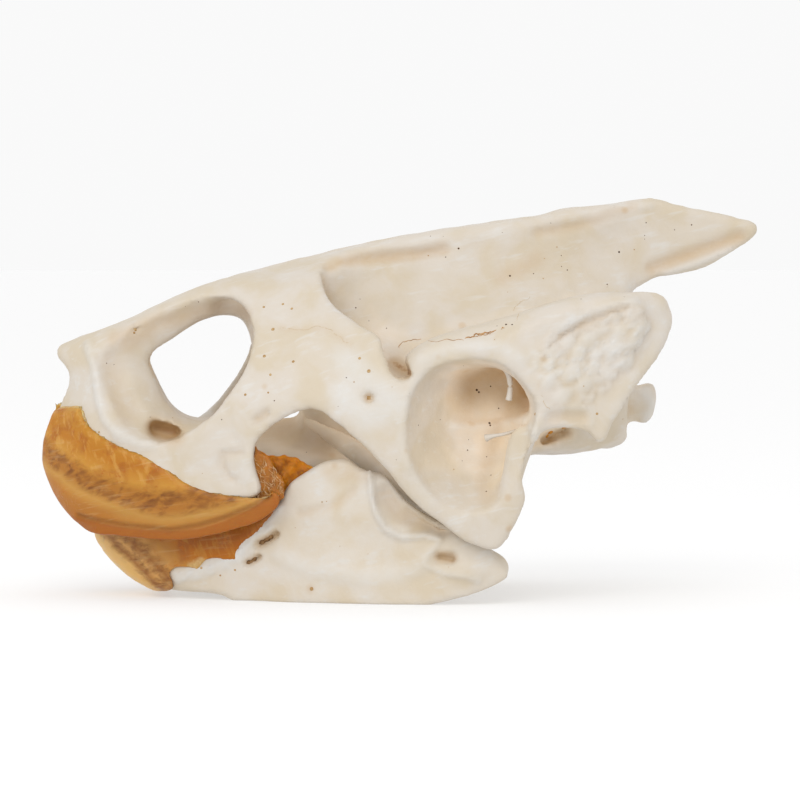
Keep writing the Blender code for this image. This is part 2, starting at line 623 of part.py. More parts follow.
def build_cranium():
    head = loft("head", smooth_rings(envelope_rings(), 2))
    head = combine(head, prism("outer_bones", [spline(OUTER_BONES, 2)]), "INTERSECT")
    hollow = loft("hollow", smooth_rings(hollow_rings(WALL), 2))
    hollow = combine(hollow, prism("core_outline", [SNOUT_CORE]), "DIFFERENCE")
    head = combine(head, hollow, "DIFFERENCE")
    for cutter in both_sides(socket_cutter()):
        head = combine(head, cutter, "DIFFERENCE")
    head = combine(head, tunnel("nose", NOSE_TUNNEL), "DIFFERENCE")
    head = combine(head, ellipsoid("mouth", *MOUTH_VAULT), "DIFFERENCE")

    steps = [(w, s, *EAR_BLOCK_CENTRE) for w, s in EAR_BLOCK_STEPS]
    ear_block = loft("ear_block", scaled_rings(EAR_BLOCK, steps))
    foot = loft("quadrate_foot", [
        ellipse((x, -w), (rx, ry), lambda u, v, z=z: (u, v, z), 24) for z, x, w, rx, ry in QUADRATE_FOOT
    ])
    ear = fuse("ear", [ear_block, foot])
    ears = both_sides(ear)
    palate = section_loft("palate", [
        (x, (0, top), (0.55 * w, 0.5 * (top + low) + 0.4), (w, low + 0.9), (w - 0.1, low + 0.1), (0, low))
        for x, w, top, low in PALATE
    ])
    braincase = section_loft("braincase", [(*s, (0, s[-1][1] - 0.4)) for s in BRAINCASE])
    crest = fuse("crest", [prism("crest", [spline(CREST, 2)], CREST_HALF)])
    neck = prism("neck", [spline(CONDYLE, 2)], CONDYLE_HALF)
    ridge = prism("ridge", [ROOF_RIDGE], ROOF_RIDGE_HALF)
    solid = fuse("solid", [head, palate, braincase, crest, neck, ridge, *ears])
    funnel = loft("funnel", scaled_rings(EAR_RIM, EAR_STEPS))
    (px, pw, pz), radii = EAR_POCKET
    pocket = ellipsoid("pocket", (px, -pw, pz), radii)
    for cutter in both_sides(funnel) + both_sides(pocket):
        solid = combine(solid, cutter, "DIFFERENCE")
    solid = combine(solid, tunnel("brain", BRAIN_HOLLOW), "DIFFERENCE")
    pillars = both_sides(tube("pillar", EAR_PILLAR))
    cranium = fuse("cranium", [solid, *pillars])
    return keep_largest(soften(cranium, 3, 10))


def build_jaw():
    branches = loft("jaw_skin", jaw_rings())
    front = new_object("jaw_front", branches.data.copy())
    branches = combine(branches, loft("between", jaw_rings(JAW_WALL)), "DIFFERENCE")
    branches = combine(branches, prism("outline", [spline(JAW, 2)]), "INTERSECT")
    centre, radii = SYMPHYSIS
    front = combine(front, prism("outline", [spline(JAW, 2)]), "INTERSECT")
    front = combine(front, ellipsoid("symphysis", centre, radii), "INTERSECT")
    (x, w, z), radii = JAW_JOINT
    joints = both_sides(ellipsoid("joint", (x, -w, z), radii))
    jaw = fuse("mandible", [branches, front, *joints])
    (x, w, z), radii = JAW_HOLLOW
    for cutter in both_sides(ellipsoid("hollow", (x, -w, z), radii)):
        jaw = combine(jaw, cutter, "DIFFERENCE")
    jaw = fuse("mandible", [jaw])
    return keep_largest(soften(jaw, 2, 6))


def floor_cutter():
    """Everything below the level that the jaw rests on."""
    return prism("floor", [((-40, -12), (40, -12), (40, 0), (-40, 0))])


def finish(obj, name, triangles, colour, roughness):
    """Names the node, thins it, shades it smooth and gives it its material."""
    keep_largest(thinned(obj, triangles))
    if name == "mandible":
        combine(obj, floor_cutter(), "DIFFERENCE")
    obj.name = name
    obj.data.name = name
    material = bpy.data.materials.new(name)
    material.use_nodes = True
    shader = material.node_tree.nodes["Principled BSDF"]
    shader.inputs["Base Color"].default_value = colour
    shader.inputs["Roughness"].default_value = roughness
    shader.inputs["Metallic"].default_value = 0.0
    obj.data.materials.clear()
    obj.data.materials.append(material)
    obj.data.shade_smooth()
    obj.data.transform(Matrix.Scale(TO_METRES, 4))


def main():
    for obj in list(bpy.data.objects):
        bpy.data.objects.remove(obj)
    cranium = build_cranium()
    beak = sheath("upper_beak", smooth_rings(envelope_rings(), 2), UPPER_BEAK, BEAK_PROUD, BEAK_WALL)
    beak = keep_largest(soften(fuse("upper_beak", [beak], 0.3), 2, 4))
    cranium = keep_largest(combine(cranium, clearance(beak), "DIFFERENCE"))
    jaw = build_jaw()
    lower = sheath("lower_beak", jaw_rings(), LOWER_BEAK, BEAK_PROUD, BEAK_WALL)
    lower = soften(fuse("lower_beak", [lower], 0.3), 2, 4)
    for other in (beak, cranium):
        lower = combine(lower, clearance(other), "DIFFERENCE")
        jaw = combine(jaw, clearance(other), "DIFFERENCE")
    keep_largest(lower)
    jaw = combine(jaw, clearance(lower), "DIFFERENCE")
    keep_largest(jaw)
    rods = both_sides(fuse("rod", [tube("rod", EAR_ROD, 8)], 0.12))

    finish(cranium, "cranium", 6600, BONE_COLOUR, 0.55)
    finish(jaw, "mandible", 1700, JAW_COLOUR, 0.55)
    finish(beak, "upper_beak", 900, HORN_COLOUR, 0.35)
    finish(lower, "lower_beak", 500, LOWER_HORN_COLOUR, 0.35)
    for rod, name in zip(rods, ("columella_left", "columella_right")):
        finish(rod, name, 70, BONE_COLOUR, 0.55)


if __name__ == "__main__":
    main()
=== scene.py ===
"""The look of a pond turtle skull: dry ivory bone, amber horn on the beak and a soft white studio.

Every piece is modelled in millimetres and turned into metres when it is finished. The nose points
along -x and +z is up. An outline is a list of (x, z) points in the side view, and w is the distance
from the middle plane, so the left side, which faces the camera, lies at y = -w.
"""

import logging
import math
from collections.abc import Callable, Sequence
from dataclasses import dataclass
from enum import Enum

import bmesh
import bpy
import numpy as np
from mathutils import Matrix, Vector, noise
from mathutils.bvhtree import BVHTree


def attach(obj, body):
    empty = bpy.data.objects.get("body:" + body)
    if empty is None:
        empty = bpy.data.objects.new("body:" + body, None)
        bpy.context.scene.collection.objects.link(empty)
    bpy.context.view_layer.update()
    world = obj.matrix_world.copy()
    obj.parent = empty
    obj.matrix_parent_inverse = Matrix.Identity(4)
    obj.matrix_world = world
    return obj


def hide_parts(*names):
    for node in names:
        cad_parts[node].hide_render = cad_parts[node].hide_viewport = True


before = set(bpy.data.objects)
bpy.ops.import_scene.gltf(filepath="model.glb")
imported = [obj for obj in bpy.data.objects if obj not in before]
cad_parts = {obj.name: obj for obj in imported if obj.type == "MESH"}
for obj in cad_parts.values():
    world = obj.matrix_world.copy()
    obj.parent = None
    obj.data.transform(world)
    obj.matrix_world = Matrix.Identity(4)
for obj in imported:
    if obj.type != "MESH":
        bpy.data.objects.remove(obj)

log = logging.getLogger("skull")

Point = tuple[float, float]
Place = tuple[float, float, float]
Outline = Sequence[Point]
Ring = Sequence[Sequence[float]]
Colour = tuple[float, float, float, float]

TO_METRES = 0.001


def srgb(red: int, green: int, blue: int) -> Colour:
    """Gives the shader's linear colour for a colour as it looks on a screen.

    Args:
        red: Red, from 0 to 255.
        green: Green, from 0 to 255.
        blue: Blue, from 0 to 255.

    Returns:
        The linear colour, opaque.
    """
    parts = [value / 255 for value in (red, green, blue)]
    line = [p / 12.92 if p <= 0.04045 else ((p + 0.055) / 1.055) ** 2.4 for p in parts]
    return (line[0], line[1], line[2], 1.0)


def spline(points: Sequence[Sequence[float]], steps: int = 4, closed: bool = True) -> list[np.ndarray]:
    """Runs a smooth curve through points of any dimension.

    Args:
        points: The points that the curve goes through.
        steps: How many points are made from each given one.
        closed: Whether the curve comes back to its start.

    Returns:
        The points of the curve.
    """
    p = [np.array(q, float) for q in points]
    n = len(p)
    out = []
    for i in range(n if closed else n - 1):
        if closed:
            a, b, c, d = p[i - 1], p[i], p[(i + 1) % n], p[(i + 2) % n]
        else:
            a, b, c, d = p[max(i - 1, 0)], p[i], p[i + 1], p[min(i + 2, n - 1)]
        for k in range(steps):
            t = k / steps
            out.append(0.5 * (2 * b + (c - a) * t + (2 * a - 5 * b + 4 * c - d) * t**2
                              + (3 * b - a - 3 * c + d) * t**3))
    if not closed:
        out.append(p[-1])
    return out


def smooth_rings(rings: Sequence[Ring], steps: int = 4) -> list[np.ndarray]:
    """Adds rings between the given ones, on smooth curves."""
    flat = spline([np.array(ring).ravel() for ring in rings], steps, closed=False)
    return [ring.reshape(-1, 3) for ring in flat]


def half_rings(sections: Sequence, detail: int) -> list[Ring]:
    """Turns (x, (w, z) ...) half sections into rings that are whole, mirrored about the middle plane."""
    rings = []
    for x, *half in sections:
        line = spline(half, detail, closed=False)
        left = [(x, -w, z) for w, z in line]
        right = [(x, w, z) for w, z in reversed(line) if w > 0]
        rings.append(left + right)
    return rings


def ellipse(centre: Point, radii: Point, at: Callable[[float, float], Place], count: int = 32) -> list[Place]:
    """Makes a ring round a centre.

    Args:
        centre: The middle of the ring, in the ring's own two directions.
        radii: Its half sizes in the same directions.
        at: Says where a pair of those coordinates lies in space.
        count: How many points the ring has.

    Returns:
        The points of the ring.
    """
    turn = [2 * math.pi * i / count for i in range(count)]
    return [at(centre[0] + radii[0] * math.cos(a), centre[1] + radii[1] * math.sin(a)) for a in turn]


def inside(place: Sequence[float], outline: Outline) -> bool:
    """Says whether an (x, z) place lies in an outline."""
    x, z = place
    odd = False
    for (ax, az), (bx, bz) in zip(outline, (*outline[1:], outline[0])):
        if (az > z) != (bz > z) and x < (bx - ax) * (z - az) / (bz - az) + ax:
            odd = not odd
    return odd


def evaluated(obj: bpy.types.Object) -> bpy.types.Mesh:
    """Gives a plain mesh of what the object's modifiers make of it."""
    bpy.context.view_layer.update()
    graph = bpy.context.evaluated_depsgraph_get()
    return bpy.data.meshes.new_from_object(obj.evaluated_get(graph))


def linked(name: str, data: bpy.types.ID) -> bpy.types.Object:
    """Puts a mesh, curve, light or camera in the scene."""
    made = bpy.data.objects.new(name, data)
    bpy.context.scene.collection.objects.link(made)
    return made


class Body:
    """A closed mesh in millimetres that is still being shaped."""

    def __init__(self, obj: bpy.types.Object) -> None:
        """Takes over an object that has a mesh."""
        self.obj = obj

    @classmethod
    def from_bmesh(cls, name: str, bm: bmesh.types.BMesh) -> "Body":
        """Makes a body from a finished bmesh, with its seams merged and its faces outwards."""
        bmesh.ops.remove_doubles(bm, verts=bm.verts, dist=1e-4)
        bmesh.ops.recalc_face_normals(bm, faces=bm.faces)
        mesh = bpy.data.meshes.new(name)
        bm.to_mesh(mesh)
        bm.free()
        return cls(linked(name, mesh))

    @classmethod
    def loft(cls, name: str, rings: Sequence[Ring]) -> "Body":
        """Makes a body through rings that have the same number of points each."""
        bm = bmesh.new()
        made = [[bm.verts.new(Vector(p)) for p in ring] for ring in rings]
        for a, b in zip(made, made[1:]):
            n = len(a)
            for i in range(n):
                bm.faces.new((a[i], a[(i + 1) % n], b[(i + 1) % n], b[i]))
        bm.faces.new(made[0])
        bm.faces.new(made[-1])
        return cls.from_bmesh(name, bm)

    @classmethod
    def prism(cls, name: str, outline: Outline, depth: tuple[float, float] = (-30.0, 30.0)) -> "Body":
        """Pushes a side outline through the skull.

        Args:
            name: The body's name.
            outline: Its (x, z) points.
            depth: Its lowest and highest y.

        Returns:
            The prism.
        """
        curve = bpy.data.curves.new(name, "CURVE")
        curve.dimensions = "2D"
        curve.fill_mode = "BOTH"
        curve.extrude = 0.5 * (depth[1] - depth[0])
        line = curve.splines.new("POLY")
        line.points.add(len(outline) - 1)
        for point, (x, z) in zip(line.points, outline):
            point.co = (x, z, 0, 1)
        line.use_cyclic_u = True
        flat = linked(name, curve)
        mesh = evaluated(flat)
        bpy.data.objects.remove(flat)
        bpy.data.curves.remove(curve)
        mesh.transform(Matrix.Translation((0, 0.5 * (depth[0] + depth[1]), 0)) @ Matrix.Rotation(math.pi / 2, 4, "X"))
        bm = bmesh.new()
        bm.from_mesh(mesh)
        bpy.data.meshes.remove(mesh)
        return cls.from_bmesh(name, bm)

    @classmethod
    def ellipsoid(cls, name: str, centre: Place, radii: Place, segments: int = 32) -> "Body":
        """Makes a round body from its centre and its three half sizes."""
        bm = bmesh.new()
        bmesh.ops.create_uvsphere(bm, u_segments=segments, v_segments=segments // 2, radius=1.0)
        place = Matrix.Translation(centre) @ Matrix.Diagonal((*radii, 1.0))
        bmesh.ops.transform(bm, matrix=place, verts=bm.verts)
        return cls.from_bmesh(name, bm)

    @classmethod
    def tube(cls, name: str, stations: Sequence[tuple[Place, float]], count: int = 12) -> "Body":
        """Makes a round bar through ((x, w, z), radius) stations on the left side."""
        line = spline([(x, -w, z, r) for (x, w, z), r in stations], 4, closed=False)
        rings = []
        for i, (x, y, z, r) in enumerate(line):
            ahead = line[min(i + 1, len(line) - 1)][:3] - line[max(i - 1, 0)][:3]
            facing = Vector(ahead).to_track_quat("Z", "Y").to_matrix()
            turns = [2 * math.pi * k / count for k in range(count)]
            rings.append([Vector((x, y, z)) + facing @ Vector((r * math.cos(a), r * math.sin(a), 0)) for a in turns])
        return cls.loft(name, rings)

    @classmethod
    def tunnel(cls, name: str, stations: Sequence[tuple[float, float, float, float]]) -> "Body":
        """Makes a bar along the middle plane from (x, z, half width, half height) stations."""
        return cls.loft(name, [
            ellipse((0, z), (ry, rz), lambda u, v, x=x: (x, u, v), 24) for x, z, ry, rz in stations
        ])

    @classmethod
    def fused(cls, name: str, bodies: Sequence["Body"], voxel: float) -> "Body":
        """Makes one even skin round overlapping bodies, which are used up.

        Args:
            name: The new body's name.
            bodies: What the skin goes round.
            voxel: The size of the skin's faces.

        Returns:
            The new body.
        """
        bm = bmesh.new()
        for body in bodies:
            bm.from_mesh(body.obj.data)
            bpy.data.objects.remove(body.obj)
        mesh = bpy.data.meshes.new(name)
        bm.to_mesh(mesh)
        bm.free()
        made = cls(linked(name, mesh))
        step = made.obj.modifiers.new("skin", "REMESH")
        step.mode = "VOXEL"
        step.voxel_size = voxel
        step.adaptivity = 0.0
        return made.apply()

    def apply(self) -> "Body":
        """Turns the modifiers' result into the body's own mesh."""
        mesh = evaluated(self.obj)
        self.obj.modifiers.clear()
        old = self.obj.data
        self.obj.data = mesh
        if old.users == 0:
            bpy.data.meshes.remove(old)
        return self

    def copied(self, name: str) -> "Body":
        """Makes a second body of the same shape."""
        return Body(linked(name, self.obj.data.copy()))

    def mirrored(self) -> "Body":
        """Makes a copy on the other side of the middle plane."""
        mesh = self.obj.data.copy()
        mesh.transform(Matrix.Diagonal((1, -1, 1, 1)))
        mesh.flip_normals()
        return Body(linked(self.obj.name + "_right", mesh))

    def both(self) -> list["Body"]:
        """Gives this body and its mirror image."""
        return [self, self.mirrored()]

    def combine(self, other: "Body", operation: str) -> "Body":
        """Applies a Boolean with another body, which is used up.

        Args:
            other: The second body.
            operation: DIFFERENCE, INTERSECT or UNION.

        Returns:
            This body.
        """
        step = self.obj.modifiers.new(operation, "BOOLEAN")
        step.operation = operation
        step.solver = "EXACT"
        step.object = other.obj
        self.apply()
        bpy.data.objects.remove(other.obj)
        return self

    def cut(self, *others: "Body") -> "Body":
        """Takes other bodies away from this one."""
        for other in others:
            self.combine(other, "DIFFERENCE")
        return self

    def meet(self, *others: "Body") -> "Body":
        """Keeps only what this body and the others share."""
        for other in others:
            self.combine(other, "INTERSECT")
        return self

    def swollen(self, amount: float) -> "Body":
        """Moves the whole surface outwards along its normals."""
        step = self.obj.modifiers.new("swell", "DISPLACE")
        step.strength = amount
        step.mid_level = 0.0
        return self.apply()

    def walled(self, thickness: float) -> "Body":
        """Turns the body into a shell whose wall lies inside its surface."""
        step = self.obj.modifiers.new("wall", "SOLIDIFY")
        step.thickness = thickness
        step.offset = -1.0
        step.use_even_offset = True
        return self.apply()

    def places(self) -> np.ndarray:
        """Gives the vertices' places, one row each."""
        co = np.empty(len(self.obj.data.vertices) * 3, np.float32)
        self.obj.data.vertices.foreach_get("co", co)
        return co.reshape(-1, 3).astype(float)

    def normals(self) -> np.ndarray:
        """Gives the vertices' normals, one row each."""
        normal = np.empty(len(self.obj.data.vertices) * 3, np.float32)
        self.obj.data.vertices.foreach_get("normal", normal)
        return normal.reshape(-1, 3).astype(float)

    def move_to(self, co: np.ndarray) -> None:
        """Puts the vertices at new places."""
        self.obj.data.vertices.foreach_set("co", co.astype(np.float32).ravel())
        self.obj.data.update()

    def spread(self, values: np.ndarray, rounds: int) -> np.ndarray:
        """Evens out values, one row for each vertex, between neighbouring vertices.

        Args:
            values: What is evened out.
            rounds: How many times it is done.

        Returns:
            The new values.
        """
        mesh = self.obj.data
        ends = np.empty(len(mesh.edges) * 2, np.int32)
        mesh.edges.foreach_get("vertices", ends)
        ends = ends.reshape(-1, 2)
        size = len(values)
        count = np.bincount(ends.ravel(), minlength=size)[:, None]
        values = values.reshape(size, -1).astype(float)
        for _ in range(rounds):
            total = np.empty_like(values)
            for k in range(values.shape[1]):
                total[:, k] = (np.bincount(ends[:, 0], values[ends[:, 1], k], size)
                               + np.bincount(ends[:, 1], values[ends[:, 0], k], size))
            values = 0.5 * (values + total / count)
        return values

    def soften(self, rounds: int, hollow_rounds: int) -> "Body":
        """Relaxes the skin. Hollows go on softening after the rims have stopped.

        Args:
            rounds: Rounds for the whole skin.
            hollow_rounds: Rounds for the hollows.

        Returns:
            This body.
        """
        self.move_to(self.spread(self.places(), rounds))
        for _ in range(max(0, hollow_rounds - rounds)):
            co = self.places()
            move = self.spread(co, 1) - co
            move[(move * self.normals()).sum(1) <= 0.002] = 0
            self.move_to(co + move)
        return self

    def keep_largest(self) -> "Body":
        """Drops loose crumbs and sealed inner skins."""
        bm = bmesh.new()
        bm.from_mesh(self.obj.data)
        bm.verts.ensure_lookup_table()
        seen = bytearray(len(bm.verts))
        groups = []
        for start in bm.verts:
            if seen[start.index]:
                continue
            seen[start.index] = 1
            group = [start]
            for vert in group:
                for edge in vert.link_edges:
                    other = edge.other_vert(vert)
                    if not seen[other.index]:
                        seen[other.index] = 1
                        group.append(other)
            groups.append(group)
        groups.sort(key=len)
        for group in groups[:-1]:
            bmesh.ops.delete(bm, geom=group, context="VERTS")
        bm.to_mesh(self.obj.data)
        bm.free()
        return self

    def paint(self, name: str, values: np.ndarray) -> None:
        """Keeps one number for each vertex in an attribute that the finishes read."""
        layer = self.obj.data.attributes.get(name) or self.obj.data.attributes.new(name, "FLOAT", "POINT")
        layer.data.foreach_set("value", np.clip(values, 0, 1).astype(np.float32).ravel())


class Paint(Enum):
    """What a stroke leaves on the bone."""

    NONE = "none"
    # This tan paint is mostly painted shade in furrows, pits, pockets and hollows.
    TAN = "tan"
    CHALK = "chalk"
    ROUGH = "rough"


@dataclass(frozen=True)
class Stroke:
    """A ridge, furrow, pit or knob along a line in the side view, and the paint it leaves.

    Attributes:
        path: The line's (x, z) points.
        radius: How far it reaches to each side of the line.
        height: How far it stands proud, or lies deep where it is below zero.
        between: The least and greatest w that it touches.
        paint: The kind of paint.
        amount: The most paint, from 0 to 1.
        facing: How much the surface has to face sideways, or below -1 for all of it.
    """

    path: Outline
    radius: float
    height: float = 0.0
    between: Point = (0.0, 30.0)
    paint: Paint = Paint.NONE
    amount: float = 0.0
    facing: float = 0.15

    def reach(self, co: np.ndarray, normal: np.ndarray) -> np.ndarray:
        """Says how strongly the stroke touches each vertex, from 0 to 1."""
        away = np.full(len(co), 1e9)
        line = [np.array(p, float) for p in self.path]
        if len(line) == 1:
            line = line * 2
        side = co[:, (0, 2)]
        for a, b in zip(line, line[1:]):
            along = b - a
            t = np.clip((side - a) @ along / max(along @ along, 1e-9), 0, 1)
            away = np.minimum(away, np.linalg.norm(side - a - t[:, None] * along, axis=1))
        near = np.clip(1 - (away / self.radius) ** 2, 0, 1) ** 2
        w = np.abs(co[:, 1])
        inside = np.clip((w - self.between[0]) / 0.3, 0, 1) * np.clip((self.between[1] - w) / 0.3, 0, 1)
        outward = normal[:, 1] * np.sign(co[:, 1])
        return near * inside * np.clip((outward - self.facing) / 0.35, 0, 1)


class Sculptor:
    """Presses strokes into a body and keeps what they paint."""

    def __init__(self, body: Body) -> None:
        """Starts on a body that has its main shape."""
        self.body = body
        size = len(body.obj.data.vertices)
        self.layers = {kind: np.zeros(size) for kind in Paint if kind is not Paint.NONE}

    def press(self, strokes: Sequence[Stroke]) -> None:
        """Works strokes into the surface, one after another."""
        co = self.body.places()
        normal = self.body.normals()
        for stroke in strokes:
            strength = stroke.reach(co, normal)
            co += (stroke.height * strength)[:, None] * normal
            if stroke.paint is not Paint.NONE:
                layer = self.layers[stroke.paint]
                np.maximum(layer, stroke.amount * strength, out=layer)
        self.body.move_to(co)

    def pebble(self, patch: Outline, between: Point, sizes: Point, count: int, height: float,
               seed: int = 2) -> None:
        """Raises low rounded beads side by side over a patch of the side view, on both sides, with painted tan shade
        in the gaps between them.

        Args:
            patch: The patch's (x, z) outline.
            between: The least and greatest w that it touches.
            sizes: The smallest and the largest bead's radius.
            count: How many places are tried for a bead.
            height: How far a bead of the largest size stands proud.
            seed: What fixes their places.
        """
        rng = np.random.default_rng(seed)
        corners = np.array(patch)
        low = corners.min(0)
        high = corners.max(0)
        beads = []
        for i in range(count):
            radius = sizes[1] - (sizes[1] - sizes[0]) * min(1.0, 1.6 * i / count) ** 0.5
            place = low + rng.random(2) * (high - low)
            turn = rng.normal(0.6, 0.35)
            if inside(place, patch) and all(math.dist(place, b) > 0.82 * (radius + r) for b, r, _ in beads):
                beads.append((place, radius, turn))
        co = self.body.places()
        normal = self.body.normals()
        mask = Stroke(((0.0, 0.0),), 1e6, 1.0, between).reach(co, normal)
        lift = np.zeros(len(co))
        halo = np.zeros(len(co))
        for place, radius, turn in beads:
            away = co[:, (0, 2)] - place
            along = away[:, 0] * math.cos(turn) + away[:, 1] * math.sin(turn)
            across = away[:, 1] * math.cos(turn) - away[:, 0] * math.sin(turn)
            near = 1 - ((along / 1.2) ** 2 + (across / 0.9) ** 2) / radius**2
            halo = np.maximum(halo, np.clip(near + 1.0, 0, 1))
            lift = np.maximum(lift, np.sqrt(np.clip(near, 0, 1)) * (radius / sizes[1]) ** 0.6)
        lift *= mask
        # Painted shade: tan in the gaps around the beads.
        crevice_shade = 0.32 * mask * np.clip(halo - 1.6 * lift, 0, 1)
        np.maximum(self.layers[Paint.TAN], crevice_shade, out=self.layers[Paint.TAN])
        np.maximum(self.layers[Paint.CHALK], 0.6 * lift, out=self.layers[Paint.CHALK])
        self.body.move_to(co + (height * lift)[:, None] * normal)

    def roughen(self, size: float, height: float, seed: float = 0.0) -> None:
        """Takes the evenness off a surface with soft lumps.

        Args:
            size: The lumps' size.
            height: How far they stand proud.
            seed: Shifts the pattern.
        """
        co = self.body.places()
        lumps = [noise.noise(Vector(p) / size + Vector((seed, seed, seed))) for p in co]
        self.body.move_to(co + height * np.array(lumps)[:, None] * self.body.normals())

    def shade_hollows(self, reach: float = 7.0, rays: int = 14) -> None:
        """Paints how closed in each place is; the bone's material turns it into painted shade and a painted glow
        there.

        Args:
            reach: How far a wall still counts.
            rays: How many directions are tried from each vertex.
        """
        mesh = self.body.obj.data
        co = self.body.places()
        normal = self.body.normals()
        tree = BVHTree.FromPolygons([Vector(p) for p in co], [tuple(f.vertices) for f in mesh.polygons])
        golden = math.pi * (3 - math.sqrt(5))
        fan = []
        for i in range(rays):
            up = 1 - 0.85 * (i + 0.5) / rays
            out = math.sqrt(1 - up * up)
            fan.append((out * math.cos(golden * i), out * math.sin(golden * i), up))
        closed = np.zeros(len(co))
        for i, (p, n) in enumerate(zip(co, normal)):
            facing = Vector(n)
            turn = facing.to_track_quat("Z", "Y").to_matrix()
            start = Vector(p) + facing * 0.06
            hits = sum(tree.ray_cast(start, turn @ Vector(d), reach)[0] is not None for d in fan)
            closed[i] = hits / rays
        self.body.paint("hollow", self.body.spread(closed, 3))

    def finish(self) -> None:
        """Keeps the paint in the body's attributes."""
        for kind, values in self.layers.items():
            self.body.paint(kind.value, self.body.spread(values, 1))


class Wire:
    """A shader socket that can stand in a Python expression."""

    def __init__(self, graph: "Graph", socket: bpy.types.NodeSocket) -> None:
        """Wraps one output of a graph's node."""
        self.graph = graph
        self.socket = socket

    def maths(self, operation: str, *values: "Wire | float") -> "Wire":
        """Adds a Math node on these values."""
        return self.graph.node("ShaderNodeMath", {"operation": operation}, dict(enumerate(values)))

    def __add__(self, other: "Wire | float") -> "Wire":
        """Adds."""
        return self.maths("ADD", self, other)

    __radd__ = __add__

    def __mul__(self, other: "Wire | float") -> "Wire":
        """Multiplies."""
        return self.maths("MULTIPLY", self, other)

    __rmul__ = __mul__

    def __sub__(self, other: "Wire | float") -> "Wire":
        """Takes the other value away."""
        return self.maths("SUBTRACT", self, other)

    def __rsub__(self, other: float) -> "Wire":
        """Takes this value away from a number."""
        return self.maths("SUBTRACT", other, self)

    def __truediv__(self, other: "Wire | float") -> "Wire":
        """Divides."""
        return self.maths("DIVIDE", self, other)

    def most(self, other: "Wire | float") -> "Wire":
        """Gives the larger of two values."""
        return self.maths("MAXIMUM", self, other)

    def least(self, other: "Wire | float") -> "Wire":
        """Gives the smaller of two values."""
        return self.maths("MINIMUM", self, other)

    def between(self, low: float, high: float) -> "Wire":
        """Rises smoothly from 0 at the low value to 1 at the high one."""
        settings = {"interpolation_type": "SMOOTHSTEP"}
        sockets = {"Value": self, "From Min": low, "From Max": high, "To Min": 0.0, "To Max": 1.0}
        if low > high:
            sockets.update({"From Min": high, "From Max": low, "To Min": 1.0, "To Max": 0.0})
        return self.graph.node("ShaderNodeMapRange", settings, sockets)


